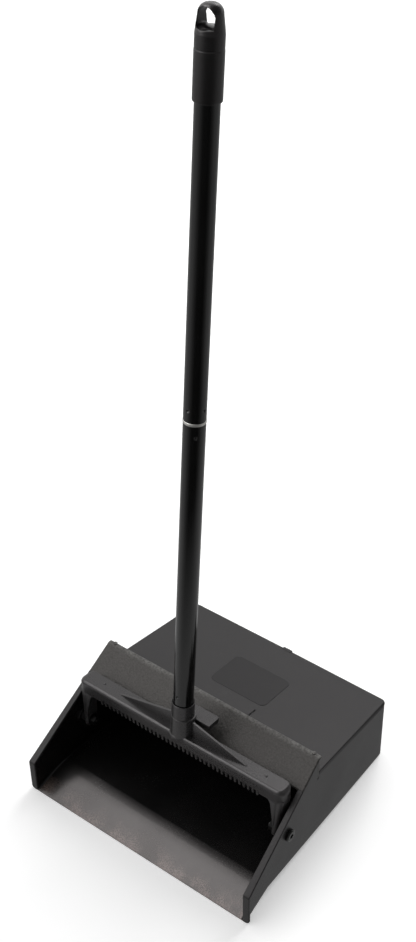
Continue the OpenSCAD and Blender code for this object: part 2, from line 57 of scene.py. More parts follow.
Pair = tuple[float, float]
Triple = tuple[float, float, float]
Color = tuple[float, float, float, float]
Curve = Callable[[np.ndarray], np.ndarray]
Node = bpy.types.Node
Socket = bpy.types.NodeSocket
Material = bpy.types.Material


class Body(Enum):
    """Bodies of the frame that a piece can ride on."""

    PAN = "pan"
    HANDLE = "handle"


class Slot(Enum):
    """Material slots of the record that the pieces stand for."""

    PAN = "pan_plastic"
    PANEL = "panel_plastic"
    LID = "lid_plastic"
    LABEL = "label_film"
    YOKE = "yoke_plastic"
    TUBE = "tube_metal"
    RING = "ring_metal"
    CAP = "cap_plastic"


class Kind(Enum):
    """Kinds of sockets on a node group."""

    FLOAT = "NodeSocketFloat"
    VECTOR = "NodeSocketVector"
    COLOR = "NodeSocketColor"


# Surfaces


def welded(mesh: bpy.types.Mesh, outward: bool = False) -> None:
    """Merges the points of a mesh that lie together.

    Args:
        mesh: the mesh, which is changed.
        outward: whether its faces are also turned outwards.
    """
    work = bmesh.new()
    work.from_mesh(mesh)
    bmesh.ops.remove_doubles(work, verts=work.verts, dist=MERGE)
    if outward:
        bmesh.ops.recalc_face_normals(work, faces=work.faces)
    work.to_mesh(mesh)
    work.free()


@dataclass
class Shape:
    """Points with the quads and the flat end faces that join them, before they become a mesh."""

    points: np.ndarray
    quads: np.ndarray
    ends: list[np.ndarray] = field(default_factory=list)

    def moved(self, place: Curve) -> "Shape":
        """Returns the same faces on points sent through place."""
        return Shape(place(self.points), self.quads, self.ends)

    def mirrored(self) -> "Shape":
        """Returns the shape reflected in the plane X = 0."""
        return self.moved(lambda p: p * np.array([-1.0, 1.0, 1.0]))

    @staticmethod
    def joined(shapes: Sequence["Shape"]) -> "Shape":
        """Puts several shapes into one.

        Args:
            shapes: the shapes, each with its own point numbers.

        Returns:
            One shape whose faces are renumbered by the points that come before them.
        """
        starts = np.cumsum([0] + [len(s.points) for s in shapes[:-1]])
        quads = np.concatenate([s.quads + n for s, n in zip(shapes, starts)])
        ends = [end + n for s, n in zip(shapes, starts) for end in s.ends]
        return Shape(np.concatenate([s.points for s in shapes]), quads, ends)

    def mesh(self, name: str) -> bpy.types.Mesh:
        """Makes a mesh of the shape.

        Args:
            name: name of the mesh.

        Returns:
            The mesh, with its points merged and its faces turned outwards.
        """
        mesh = bpy.data.meshes.new(name)
        mesh.from_pydata(self.points.tolist(), [], self.quads.tolist() + [end.tolist() for end in self.ends])
        welded(mesh, outward=True)
        return mesh


def unit(rows: np.ndarray) -> np.ndarray:
    """Rows scaled to length one."""
    return rows / np.linalg.norm(rows, axis=1, keepdims=True)


def beside(path: np.ndarray) -> np.ndarray:
    """Unit directions to the right of a path, at each of its points."""
    along = np.gradient(path, axis=0)
    return unit(np.stack([along[:, 1], -along[:, 0]], axis=1))


def way(value: np.ndarray, start: float, full: float) -> np.ndarray:
    """Share of the way from start to full, kept between zero and one."""
    return np.clip((value - start) / (full - start), 0, 1)


def eased(share: np.ndarray) -> np.ndarray:
    """Share with flat ends: three times its square less twice its cube."""
    return share * share * (3 - 2 * share)


def smooth_most(a: np.ndarray, b: np.ndarray, width: np.ndarray | float) -> np.ndarray:
    """The larger of two values, rounded by a parabola where they are closer than width."""
    return np.maximum(a, b) + np.maximum(width - np.abs(a - b), 0) ** 2 / (4 * width)


def full_turn(steps: int) -> np.ndarray:
    """Angles of even steps round an axis."""
    return np.linspace(0, 2 * math.pi, steps, endpoint=False)


def quarter(centre: Pair, radius: float, start: float, stop: float, steps: int = 6) -> np.ndarray:
    """Points on an arc about a centre, from start to stop in right angles."""
    angle = np.linspace(start, stop, steps + 1) * RIGHT_ANGLE
    return np.asarray(centre) + radius * np.stack([np.cos(angle), np.sin(angle)], axis=1)


def quarter_shares(steps: int) -> tuple[np.ndarray, np.ndarray]:
    """One minus the cosine and one minus the sine of even steps to a right angle, for round edges."""
    turn = np.linspace(0, RIGHT_ANGLE, steps + 1)
    return 1 - np.cos(turn), 1 - np.sin(turn)


def side_view(points: np.ndarray) -> np.ndarray:
    """Turns points drawn in the side view, (depth, height, across), into (across, depth, height)."""
    return points[:, [2, 0, 1]]


def front_view(points: np.ndarray) -> np.ndarray:
    """Turns points drawn in the front view, (height, across, depth), into (across, depth, height)."""
    return points[:, [1, 2, 0]]


def lattice(rows: int, cols: int, ring: bool = True, loop: bool = False) -> np.ndarray:
    """Quads of a grid of points that is stored row by row.

    Args:
        rows: number of rows.
        cols: number of points in a row.
        ring: whether the last point of a row joins the first.
        loop: whether the last row joins the first.

    Returns:
        Four point numbers for each quad.
    """
    r = np.arange(rows if loop else rows - 1)[:, None]
    c = np.arange(cols if ring else cols - 1)[None, :]
    r_next, c_next = (r + 1) % rows, (c + 1) % cols
    corners = [r * cols + c, r * cols + c_next, r_next * cols + c_next, r_next * cols + c]
    return np.stack(corners, axis=-1).reshape(-1, 4)


def rounded(corners: Sequence[Pair], radii: Sequence[float] | float, steps: int = 6) -> np.ndarray:
    """Closed outline whose corners are arcs.

    Each arc touches both sides of its corner; its points turn evenly from one radius vector to the other,
    as the sine-weighted mean of the two.

    Args:
        corners: corner points, anticlockwise.
        radii: one radius for all corners or one for each.
        steps: steps on each arc.

    Returns:
        Outline points, one row each.
    """
    here = np.asarray(corners, float)
    radius = np.broadcast_to(np.asarray(radii, float), len(here))[:, None]
    back = unit(np.roll(here, 1, axis=0) - here)
    ahead = unit(np.roll(here, -1, axis=0) - here)
    inner = np.arccos(np.clip((back * ahead).sum(axis=1, keepdims=True), -1, 1))
    reach = radius / np.tan(inner / 2)
    centre = here + unit(back + ahead) * radius / np.sin(inner / 2)
    start, stop = here + back * reach - centre, here + ahead * reach - centre
    sweep = (math.pi - inner)[:, None]
    part = np.linspace(0, 1, steps + 1)[None, :, None]
    arc = np.sin((1 - part) * sweep) * start[:, None] + np.sin(part * sweep) * stop[:, None]
    return (centre[:, None] + arc / np.sin(sweep)).reshape(-1, 2)


def inward(outline: np.ndarray) -> np.ndarray:
    """Directions that move an outline inwards by one unit.

    Args:
        outline: anticlockwise points.

    Returns:
        One direction for each point: the sum of its two edges' unit normals over one plus their product.
    """
    step = np.roll(outline, -1, axis=0) - outline
    left = unit(np.stack([-step[:, 1], step[:, 0]], axis=1))
    before = np.roll(left, 1, axis=0)
    return (left + before) / (1 + (left * before).sum(axis=1, keepdims=True))


def swept(rings: np.ndarray) -> Shape:
    """Surface through rings of points, closed at both ends.

    Args:
        rings: array of rings, points in a ring and coordinates.

    Returns:
        The closed shape.
    """
    count = rings.shape[1]
    ends = [np.arange(count)[::-1], np.arange(count) + (len(rings) - 1) * count]
    return Shape(rings.reshape(-1, 3), lattice(len(rings), count), ends)


def stacked(outline: np.ndarray, insets: np.ndarray, heights: np.ndarray) -> Shape:
    """Surface of an outline that is moved inwards and carried upwards ring by ring.

    Args:
        outline: anticlockwise points.
        insets: inward move of each point, ring by ring.
        heights: height of each point, ring by ring.

    Returns:
        The closed shape, with its heights as the third coordinate.
    """
    flat = outline[None] + insets[..., None] * inward(outline)[None]
    return swept(np.concatenate([flat, heights[..., None]], axis=2))


def plate(outline: np.ndarray, low: float, high: float, edge_low: float, edge_high: float | np.ndarray,
          steps: int = 5) -> Shape:
    """Plate with round edges: quarter circles of inset against height at the bottom and at the top.

    Args:
        outline: anticlockwise points.
        low: height of the lower face.
        high: height of the upper face.
        edge_low: radius of the lower edge.
        edge_high: radius of the upper edge, the same all round or one for each point.
        steps: steps on each quarter circle.

    Returns:
        The closed plate.
    """
    soft, hard = (share[:, None] for share in quarter_shares(steps))
    under = np.full((1, len(outline)), edge_low)
    over = np.broadcast_to(edge_high, len(outline))[None]
    insets = np.concatenate([under * hard, over * soft])
    heights = np.concatenate([low + under * soft, high - over * hard])
    return stacked(outline, insets, heights)


def turned(profile: np.ndarray, steps: int, closed: bool = True, dents: np.ndarray | float = 0.0) -> Shape:
    """Surface of revolution: radius r and height h of the profile go round the third axis.

    Args:
        profile: rows of radius and height.
        steps: steps round the axis.
        closed: whether the profile is a loop, as that of a ring is.
        dents: how much the radius is lowered, for each row and step.

    Returns:
        The shape.
    """
    angle = full_turn(steps)
    r, h = profile[:, :1] - dents, profile[:, 1:]
    points = np.stack([r * np.cos(angle), r * np.sin(angle), h + 0 * angle], axis=-1).reshape(-1, 3)
    return Shape(points, lattice(len(profile), steps, loop=closed))


# Frames shared by the pieces


@dataclass(frozen=True)
class Plan:
    """Plan and side view of the pan, with depths counted from the lip."""

    half_depth: float = 0.141
    depth: float = 0.282
    rim_half: float = 0.1525
    rim_taper: float = 0.0566
    front_half: float = 0.1475
    rear_half: float = 0.136
    wall_rear: float = 0.2812
    wall: float = 0.003
    cheek: float = 0.0423
    mouth_rise: float = math.tan(math.radians(32.75))
    panel_low: float = 0.1010
    panel_top: float = 0.1335
    hood: float = 0.1375
    panel_drop: float = 0.00357
    panel_thick: float = 0.003
    foot: float = 0.0929
    rear_height: float = 0.0844
    lid_fall: float = math.radians(7)
    lid_drop: float = 0.00322

    def wall_at(self, y: np.ndarray) -> np.ndarray:
        """Half width over the outside of the walls at a depth."""
        return self.front_half - (self.front_half - self.rear_half) / self.wall_rear * y

    def rim_at(self, y: np.ndarray) -> np.ndarray:
        """Half width over the rim at a depth."""
        return self.rim_half - self.rim_taper * y

    def mouth(self, y: np.ndarray) -> np.ndarray:
        """Height of the sloping mouth at a depth."""
        return self.cheek + self.mouth_rise * y

    def lid(self, y: np.ndarray) -> np.ndarray:
        """Height of the upper face of the lid at a depth."""
        return self.rear_height + math.tan(self.lid_fall) * (self.depth - y)

    def place(self, points: np.ndarray) -> np.ndarray:
        """Moves points with depths counted from the lip into the frame."""
        return points - np.array([0.0, self.half_depth, 0.0])

    def on_lid(self, points: np.ndarray) -> np.ndarray:
        """Lays points on the falling lid.

        Args:
            points: points across, along from the rear edge and above the lid.

        Returns:
            The points in the frame, turned about the rear edge by the lid's fall.
        """
        along, up = points[:, 1], points[:, 2]
        cos, sin = math.cos(self.lid_fall), math.sin(self.lid_fall)
        y = self.half_depth + along * cos + up * sin
        return np.stack([points[:, 0], y, self.rear_height - along * sin + up * cos], axis=1)

    def tapered(self, slab: Shape, base: float, half: Curve) -> Shape:
        """Places a plate drawn in the side view, with ends that follow a half width.

        Args:
            slab: the plate.
            base: half width that it was drawn for.
            half: half width at a depth.

        Returns:
            The plate in the frame, each end moved out by the difference of the two.
        """
        points = side_view(slab.points)
        points[:, 0] += np.sign(points[:, 0]) * (half(points[:, 1]) - base)
        return Shape(self.place(points), slab.quads, slab.ends)


@dataclass(frozen=True)
class HandleFrame:
    """Place of the handle: its pivot and its backward lean."""

    pivot_y: float = -0.0606
    pivot_z: float = 0.0578
    lean: float = math.radians(5)

    def place(self, points: np.ndarray) -> np.ndarray:
        """Brings points into the frame.

        Args:
            points: points across, behind and along the handle.

        Returns:
            The points, turned about the pivot by the handle's lean.
        """
        v, t = points[:, 1], points[:, 2]
        cos, sin = math.cos(self.lean), math.sin(self.lean)
        y, z = self.pivot_y + v * cos + t * sin, self.pivot_z - v * sin + t * cos
        return np.stack([points[:, 0], y, z], axis=1)


PLAN = Plan()
HANDLE = HandleFrame()


# Finishes


def grey(value: float, tint: Triple = (1.0, 1.0, 1.0)) -> Color:
    """Returns a linear grey with a slight tint."""
    return (value * tint[0], value * tint[1], value * tint[2], 1.0)


class Nodes:
    """Small helper that adds nodes to a tree and joins them."""

    mix_inputs = (0, 6, 7)  # factor and the two colours of a Mix node
    mix_output = 2
    range_inputs = ("Value", "From Min", "From Max", "To Min", "To Max")

    def __init__(self, tree: bpy.types.NodeTree) -> None:
        """Keeps the tree that the nodes go into."""
        self.tree = tree

    def add(self, kind: str, **properties: object) -> Node:
        """Adds a node.

        Args:
            kind: Blender's name of the node type.
            properties: properties of the node by name.

        Returns:
            The node.
        """
        node = self.tree.nodes.new(kind)
        for name, value in properties.items():
            setattr(node, name, value)
        return node

    def link(self, source: object, target: Socket) -> None:
        """Brings a value to a socket.

        Args:
            source: the socket that gives the value, or the value itself.
            target: the socket that takes it.
        """
        if isinstance(source, Socket):
            self.tree.links.new(source, target)
        else:
            target.default_value = source

    def give(self, node: Node, **values: object) -> None:
        """Brings values to a node.

        Args:
            node: the node.
            values: sockets or values by input name, with spaces as underscores.
        """
        for name, value in values.items():
            self.link(value, node.inputs[name.replace("_", " ")])

    def place(self, kind: str = "Object") -> Socket:
        """Adds texture coordinates and returns those of one kind."""
        return self.add("ShaderNodeTexCoord").outputs[kind]

    def axes(self, place: Socket) -> dict[str, Socket]:
        """Splits coordinates.

        Args:
            place: the coordinates.

        Returns:
            X, Y and Z by name.
        """
        node = self.add("ShaderNodeSeparateXYZ")
        self.give(node, Vector=place)
        return {socket.name: socket for socket in node.outputs}

    def math(self, operation: str, *terms: object, kind: str = "ShaderNodeMath",
             output: int | str = 0) -> Socket:
        """Adds a Math or Vector Math node.

        Args:
            operation: Blender's name of the operation.
            terms: sockets or values, in the order of the inputs.
            kind: Blender's name of the node type.
            output: number or name of the wanted output.

        Returns:
            That output.
        """
        node = self.add(kind, operation=operation)
        for term, socket in zip(terms, node.inputs):
            self.link(term, socket)
        return node.outputs[output]

    def weighted(self, first: Socket, second: Socket, shares: Pair) -> Socket:
        """Adds the sum of two values times their shares."""
        return self.math("ADD", *(self.math("MULTIPLY", v, s) for v, s in zip((first, second), shares)))

    def blend(self, amount: object, first: object, second: object) -> Socket:
        """Adds a colour Mix node.

        Args:
            amount: socket or number that goes from the first colour to the second.
            first: socket or colour.
            second: socket or colour.

        Returns:
            Its colour output.
        """
        node = self.add("ShaderNodeMix", data_type="RGBA")
        for term, number in zip((amount, first, second), self.mix_inputs):
            self.link(term, node.inputs[number])
        return node.outputs[self.mix_output]

    def spread(self, value: Socket, low: object, high: object, to: tuple = (0.0, 1.0)) -> Socket:
        """Adds a Map Range node.

        Args:
            value: socket to map.
            low: number or socket that becomes the first of to.
            high: number or socket that becomes the second of to.
            to: the two ends of the result, as numbers or sockets.

        Returns:
            Its result.
        """
        node = self.add("ShaderNodeMapRange", clamp=True)
        for term, name in zip((value, low, high, *to), self.range_inputs):
            self.link(term, node.inputs[name])
        return node.outputs["Result"]

    def noise(self, place: Socket, scale: object, detail: float, roughness: float = 0.5) -> Socket:
        """Adds a noise texture.

        Args:
            place: its coordinates.
            scale: its scale, as a number or socket.
            detail: number of octaves.
            roughness: strength of each octave against the one before.

        Returns:
            The noise.
        """
        node = self.add("ShaderNodeTexNoise")
        self.give(node, Vector=place, Scale=scale, Detail=detail, Roughness=roughness)
        return node.outputs["Fac"]

    def bump(self, height: Socket, strength: float, distance: float) -> Socket:
        """Adds a Bump node.

        Args:
            height: the height.
            strength: how much of it shows.
            distance: metres for a height of one.

        Returns:
            The normal.
        """
        node = self.add("ShaderNodeBump")
        self.give(node, Height=height, Strength=strength, Distance=distance)
        return node.outputs["Normal"]


class Group:
    """A shader node group that is built once and placed in every material that wants it."""

    name = ""
    inputs: dict[str, object] = {}
    outputs: dict[str, Kind] = {}

    @staticmethod
    def kind(value: object) -> Kind:
        """Kind of socket for a default value: a number, a vector of three or a colour of four."""
        return Kind.FLOAT if isinstance(value, float) else Kind.VECTOR if len(value) == 3 else Kind.COLOR

    def tree(self) -> bpy.types.NodeTree:
        """Finds the group's tree, or makes it with named sockets on the first call.

        Returns:
            The tree.
        """
        if self.name in bpy.data.node_groups:
            return bpy.data.node_groups[self.name]
        tree = bpy.data.node_groups.new(self.name, "ShaderNodeTree")
        for name, value in self.inputs.items():
            kind = self.kind(value).value
            tree.interface.new_socket(name, in_out="INPUT", socket_type=kind).default_value = value
        for name, kind in self.outputs.items():
            tree.interface.new_socket(name, in_out="OUTPUT", socket_type=kind.value)
        nodes = Nodes(tree)
        given = {socket.name: socket for socket in nodes.add("NodeGroupInput").outputs}
        results = self.fill(nodes, given)
        target = nodes.add("NodeGroupOutput")
        for name, socket in results.items():
            nodes.link(socket, target.inputs[name])
        return tree

    def fill(self, nodes: Nodes, given: dict[str, Socket]) -> dict[str, Socket]:
        """Makes the nodes between the group's inputs and outputs.

        Args:
            nodes: the group's nodes.
            given: its inputs by name.

        Returns:
            Its outputs by name.
        """
        raise NotImplementedError

    def put(self, nodes: Nodes, **values: object) -> dict[str, Socket]:
        """Places the group in a material.

        Args:
            nodes: the material's nodes.
            values: sockets or values by input name, with spaces as underscores.

        Returns:
            The group's outputs by name.
        """
        node = nodes.add("ShaderNodeGroup", node_tree=self.tree())
        nodes.give(node, **values)
        return {socket.name: socket for socket in node.outputs}


class MouldedGrain(Group):
    """Skin of a moulding: cloudy tone, spark-eroded grain and a roughness that follows both."""

    name = "moulded_grain"
    inputs = {"Tone": grey(0.03), "Pale": grey(0.05), "Cloud Scale": 14.0, "Grain Scale": 900.0, "Fleck": 0.3,
              "Rough Low": 0.35, "Rough High": 0.5}
    outputs = {"Color": Kind.COLOR, "Roughness": Kind.FLOAT, "Height": Kind.FLOAT}
    cloud_octaves = (4.0, 0.55)  # their number, and the strength of each against the one before
    grain_octaves = (3.0, 0.6)
    cloud_share = 0.7
    rough_shares = (0.5, 0.5)
    rough_span = (0.1, 0.9)

    def fill(self, nodes: Nodes, given: dict[str, Socket]) -> dict[str, Socket]:
        """Mixes two tones by a cloud noise with flecks of fine grain added.

        Args:
            nodes: the group's nodes.
            given: its inputs by name.

        Returns:
            The colour, a roughness from both noises, and the grain as the height.
        """
        place = nodes.place()
        cloud = nodes.noise(place, given["Cloud Scale"], *self.cloud_octaves)
        grain = nodes.noise(place, given["Grain Scale"], *self.grain_octaves)
        soft, fine = nodes.spread(cloud, *NOISE_SPAN), nodes.spread(grain, *NOISE_SPAN)
        fleck = nodes.math("MULTIPLY", nodes.math("SUBTRACT", fine, 0.5), given["Fleck"])
        amount = nodes.math("ADD", nodes.math("MULTIPLY", soft, self.cloud_share), fleck)
        amount.node.use_clamp = True
        rough = nodes.weighted(soft, fine, self.rough_shares)
        ends = (given["Rough Low"], given["Rough High"])
        return {"Color": nodes.blend(amount, given["Tone"], given["Pale"]),
                "Roughness": nodes.spread(rough, *self.rough_span, ends), "Height": fine}


class Scuffs(Group):
    """Sparse fine scratches in two directions, as a mask."""

    name = "scuffs"
    inputs = {"Scale": 60.0, "Amount": 0.5}
    outputs = {"Mask": Kind.FLOAT}
    turns = ((0.3, 0.2, 0.6), (0.1, 0.5, -0.9))
    stretches = ((1.0, 14.0, 1.0), (1.0, 1.0, 11.0))
    line_octaves = 2.0
    line_half = 0.012
    patch_scale = 35.0
    patch_octaves = 1.0
    patch_span = (0.52, 0.66)

    def fill(self, nodes: Nodes, given: dict[str, Socket]) -> dict[str, Socket]:
        """Takes the thin crests of two long stretched noises and lets a cloud noise break them up.

        Args:
            nodes: the group's nodes.
            given: its inputs by name.

        Returns:
            The mask.
        """
        place = nodes.place()
        crests = []
        for turn, stretch in zip(self.turns, self.stretches):
            mapped = nodes.add("ShaderNodeMapping")
            nodes.give(mapped, Vector=place, Rotation=turn, Scale=stretch)
            noise = nodes.noise(mapped.outputs["Vector"], given["Scale"], self.line_octaves)
            off = nodes.math("ABSOLUTE", nodes.math("SUBTRACT", noise, 0.5))
            crests.append(nodes.spread(off, 0.0, self.line_half, (1.0, 0.0)))
        broken = nodes.noise(place, self.patch_scale, self.patch_octaves)
        patch = nodes.spread(broken, *self.patch_span)
        lines = nodes.math("MULTIPLY", nodes.math("MAXIMUM", *crests), patch)
        return {"Mask": nodes.math("MULTIPLY", lines, given["Amount"])}


class WearAndHighlightPatches(Group):
    """Pale strip between two heights of the frame, broken up in patches, as a mask: wear, and on the panel's
    top edge also a painted highlight.
    """

    name = "worn_patches"
    inputs = {"Grain": 0.5, "Start": 0.0, "Full": 1.0, "Share": 1.0, "Patch Scale": 60.0, "Patch Low": 0.0,
              "Patch High": 0.1}
    outputs = {"Mask": Kind.FLOAT}
    patch_octaves = 4.0
    patch_least = 0.1
    grain_span = (0.25, 0.75)
    grain_least = 0.2

    def fill(self, nodes: Nodes, given: dict[str, Socket]) -> dict[str, Socket]:
        """Multiplies the rise from one height to the other by patches of noise and by the fine grain.

        Args:
            nodes: the group's nodes.
            given: its inputs by name.

        Returns:
            The mask.
        """
        place = nodes.place()
        band = nodes.spread(nodes.axes(place)["Z"], given["Start"], given["Full"])
        patch = nodes.noise(place, given["Patch Scale"], self.patch_octaves)
        spots = nodes.spread(patch, given["Patch Low"], given["Patch High"], (self.patch_least, 1.0))
        fine = nodes.spread(given["Grain"], *self.grain_span, (self.grain_least, given["Share"]))
        return {"Mask": nodes.math("MULTIPLY", nodes.math("MULTIPLY", band, spots), fine)}


class InsideShadeMask(Group):
    """Mask of the inner faces of the pan's walls, from the plan of the pan, where painted shade goes."""

    name = "inside_mask"
    inputs = {"Front Half": PLAN.front_half, "Rear Half": PLAN.rear_half, "Depth": PLAN.wall_rear,
              "Front": -PLAN.half_depth, "Wall": PLAN.wall}
    outputs = {"Mask": Kind.FLOAT}

    def fill(self, nodes: Nodes, given: dict[str, Socket]) -> dict[str, Socket]:
        """Finds points that lie deeper than half a wall behind the tapering sides and behind the rear.

        Args:
            nodes: the group's nodes.
            given: its inputs by name.

        Returns:
            The mask, which is one there and zero elsewhere.
        """
        axes = nodes.axes(nodes.place())
        back = nodes.math("SUBTRACT", axes["Y"], given["Front"])
        share = nodes.math("DIVIDE", back, given["Depth"])
        fall = nodes.math("SUBTRACT", given["Front Half"], given["Rear Half"])
        half = nodes.math("SUBTRACT", given["Front Half"], nodes.math("MULTIPLY", fall, share))
        aside = nodes.math("SUBTRACT", half, nodes.math("ABSOLUTE", axes["X"]))
        deep = nodes.math("MINIMUM", aside, nodes.math("SUBTRACT", given["Depth"], back))
        return {"Mask": nodes.math("GREATER_THAN", deep, nodes.math("MULTIPLY", given["Wall"], 0.5))}


class DrawnStreaks(Group):
    """Fine lines along one axis, as on drawn tube and turned metal."""

    name = "drawn_streaks"
    inputs = {"Stretch": (400.0, 400.0, 6.0), "Lean": 0.0}
    outputs = {"Lines": Kind.FLOAT, "Cloud": Kind.FLOAT}
    octaves = 3.0
    cloud_scale = 18.0

    def fill(self, nodes: Nodes, given: dict[str, Socket]) -> dict[str, Socket]:
        """Scales space by the stretch after turning it upright, and takes noise there for the lines.

        Args:
            nodes: the group's nodes.
            given: its inputs by name.

        Returns:
            The lines, and a cloud noise that is not stretched.
        """
        place = nodes.place()
        upright = nodes.add("ShaderNodeVectorRotate", rotation_type="X_AXIS")
        nodes.give(upright, Vector=place, Angle=given["Lean"])
        scaled = nodes.math("MULTIPLY", upright.outputs["Vector"], given["Stretch"], kind=VECTOR_MATH)
        lines = nodes.noise(scaled, 1.0, self.octaves)
        cloud = nodes.noise(place, self.cloud_scale, self.octaves)
        return {"Lines": nodes.spread(lines, *NOISE_SPAN), "Cloud": nodes.spread(cloud, *NOISE_SPAN)}


def principled(name: str) -> tuple[Nodes, Node]:
    """Makes a material.

    Args:
        name: name of the material.

    Returns:
        Its nodes and its Principled shader.
    """
    material = bpy.data.materials.new(name)
    material.use_nodes = True
    return Nodes(material.node_tree), material.node_tree.nodes["Principled BSDF"]


@dataclass(frozen=True)
class WearAndHighlightBand:
    """Pale strip that grows from one height of the frame to another, in patches: wear on the floor's lip,
    wear and a painted highlight on the panel's top edge.
    """

    start: float
    full: float
    tone: float
    share: float
    tint: Triple = (1.0, 1.0, 0.96)
    patch_scale: float = 60.0
    patch_span: Pair = (0.0, 0.1)

    def rubbed(self, nodes: Nodes, color: Socket, grain: Socket) -> Socket:
        """Adds the strip to a colour.

        Args:
            nodes: the material's nodes.
            color: colour before the wear and painted highlight.
            grain: grain that breaks the strip up.

        Returns:
            Colour with the strip.
        """
        mask = WearAndHighlightPatches().put(
            nodes, Grain=grain, Start=self.start, Full=self.full, Share=self.share,
            Patch_Scale=self.patch_scale, Patch_Low=self.patch_span[0], Patch_High=self.patch_span[1])["Mask"]
        return nodes.blend(mask, color, grey(self.tone, self.tint))


@dataclass(frozen=True)
class InsideShade:
    """Inside of the pan's walls, painted darker as the shade that falls there, and given a smoother
    roughness.
    """

    tone: float
    rough: float


@dataclass(frozen=True)
class MouldedPlastic:
    """Grey moulded plastic with grain, scuffs, a pale band of wear and painted highlight, and painted shade
    on the pan's inner faces.
    """

    name: str
    tone: float
    pale: float
    tint: Triple = (1.0, 0.985, 0.99)
    cloud_scale: float = 14.0
    grain_scale: float = 900.0
    fleck: float = 0.3
    rough: Pair = (0.35, 0.5)
    bump: float = 0.00008
    scuff: float = 0.3
    scuff_pale: float = 2.2
    scuff_rough: float = 0.12
    worn: Optional[WearAndHighlightBand] = None
    core: Optional[InsideShade] = None
    specular: float = 0.5
    sheen: Triple = (1.0, 0.965, 0.975)

    def material(self) -> Material:
        """Builds the material.

        Returns:
            A Principled material fed by the grain and scuff groups, and by those of the pale band and of the
            painted inside shade.
        """
        nodes, shader = principled(self.name)
        tone, pale = grey(self.tone, self.tint), grey(self.pale, self.tint)
        grain = MouldedGrain().put(
            nodes, Tone=tone, Pale=pale, Cloud_Scale=self.cloud_scale, Grain_Scale=self.grain_scale,
            Fleck=self.fleck, Rough_Low=self.rough[0], Rough_High=self.rough[1])
        scuff = Scuffs().put(nodes, Amount=self.scuff)["Mask"]
        color = nodes.blend(scuff, grain["Color"], grey(self.pale * self.scuff_pale, self.tint))
        # Pale band: wear, and on the panel's top edge also a painted highlight.
        if self.worn:
            color = self.worn.rubbed(nodes, color, grain["Height"])
        rough = nodes.math("ADD", grain["Roughness"], nodes.math("MULTIPLY", scuff, self.scuff_rough))
        # Painted shade: the pan's inner faces get a darker tone mixed in by the mask, and a smoother
        # roughness.
        if self.core:
            inside = InsideShadeMask().put(nodes)["Mask"]
            dark = nodes.blend(grain["Height"], grey(self.core.tone, self.tint), tone)
            color = nodes.blend(inside, color, dark)
            rough = nodes.spread(inside, 0.0, 1.0, (rough, self.core.rough))
        normal = nodes.bump(grain["Height"], 1.0, self.bump)
        nodes.give(shader, Base_Color=color, Roughness=rough, Normal=normal, Specular_IOR_Level=self.specular,
                   Specular_Tint=(*self.sheen, 1.0))
        return bpy.data.materials[self.name]


@dataclass(frozen=True)
class CoatedTube:
    """Glossy dark lacquer on drawn tube, with faint draw lines and handling haze."""

    name: str
    tone: float
    pale: float
    rough: Pair
    stretch: Triple = (500.0, 500.0, 5.0)
    scuff: Pair = (40.0, 0.35)  # scale and amount
    cloud: float = 0.5
    haze: Pair = (0.6, 0.4)  # shares of cloud and lines
    bump: Pair = (0.5, 0.00002)  # strength and distance
    coat: float = 0.3
    coat_rough: float = 0.08

    def material(self) -> Material:
        """Builds the material.

        Returns:
            A Principled material fed by the streak and scuff groups.
        """
        nodes, shader = principled(self.name)
        streaks = DrawnStreaks().put(nodes, Stretch=self.stretch, Lean=HANDLE.lean)
        scuff = Scuffs().put(nodes, Scale=self.scuff[0], Amount=self.scuff[1])["Mask"]
        amount = nodes.math("MAXIMUM", nodes.math("MULTIPLY", streaks["Cloud"], self.cloud), scuff)
        haze = nodes.weighted(streaks["Cloud"], streaks["Lines"], self.haze)
        nodes.give(shader, Base_Color=nodes.blend(amount, grey(self.tone), grey(self.pale)),
                   Roughness=nodes.spread(haze, 0.0, 1.0, self.rough),
                   Normal=nodes.bump(streaks["Lines"], *self.bump),
                   Coat_Weight=self.coat, Coat_Roughness=self.coat_rough)
        return bpy.data.materials[self.name]


@dataclass(frozen=True)
class TurnedMetal:
    """Bare or dark metal with turning lines; the near-black washers and nuts are painted shade."""

    name: str
    tone: float
    pale: float
    rough: Pair
    metallic: float = 1.0
    stretch: Triple = (60.0, 60.0, 2400.0)
    lean: float = HANDLE.lean
    tint: Triple = (1.0, 0.985, 0.94)
    shares: Pair = (0.5, 0.5)  # of lines and cloud
    bump: Pair = (0.4, 0.00003)  # strength and distance

    def material(self) -> Material:
        """Builds the material.

        Returns:
            A Principled material fed by the streak group.
        """
        nodes, shader = principled(self.name)
        streaks = DrawnStreaks().put(nodes, Stretch=self.stretch, Lean=self.lean)
        amount = nodes.weighted(streaks["Lines"], streaks["Cloud"], self.shares)
        color = nodes.blend(amount, grey(self.tone, self.tint), grey(self.pale, self.tint))
        nodes.give(shader, Base_Color=color, Roughness=nodes.spread(amount, 0.0, 1.0, self.rough),
                   Normal=nodes.bump(streaks["Lines"], *self.bump), Metallic=self.metallic)
        return bpy.data.materials[self.name]


# The pan's walls carry painted shade on their inner faces.
PAN_PLASTIC = MouldedPlastic(
    "pan_plastic_look", 0.006, 0.010, tint=(1.0, 0.98, 0.99), rough=(0.3, 0.4), bump=0.00005,
    core=InsideShade(0.002, 0.2), specular=0.32)
FLOOR_PLASTIC = MouldedPlastic(
    "floor_plastic_look", 0.004, 0.008, rough=(0.2, 0.3), bump=0.00001, scuff=0.1, specular=0.47,
    worn=WearAndHighlightBand(0.0080, 0.002, 0.17, 1.0, (1.0, 0.76, 0.67), 38.0, (0.42, 0.60)), sheen=(1.0, 0.94, 0.93))
RIM_PLASTIC = MouldedPlastic(
    "rim_plastic_look", 0.006, 0.011, tint=(1.0, 0.97, 0.98), grain_scale=700.0, fleck=0.6,
    rough=(0.38, 0.52), specular=0.42)
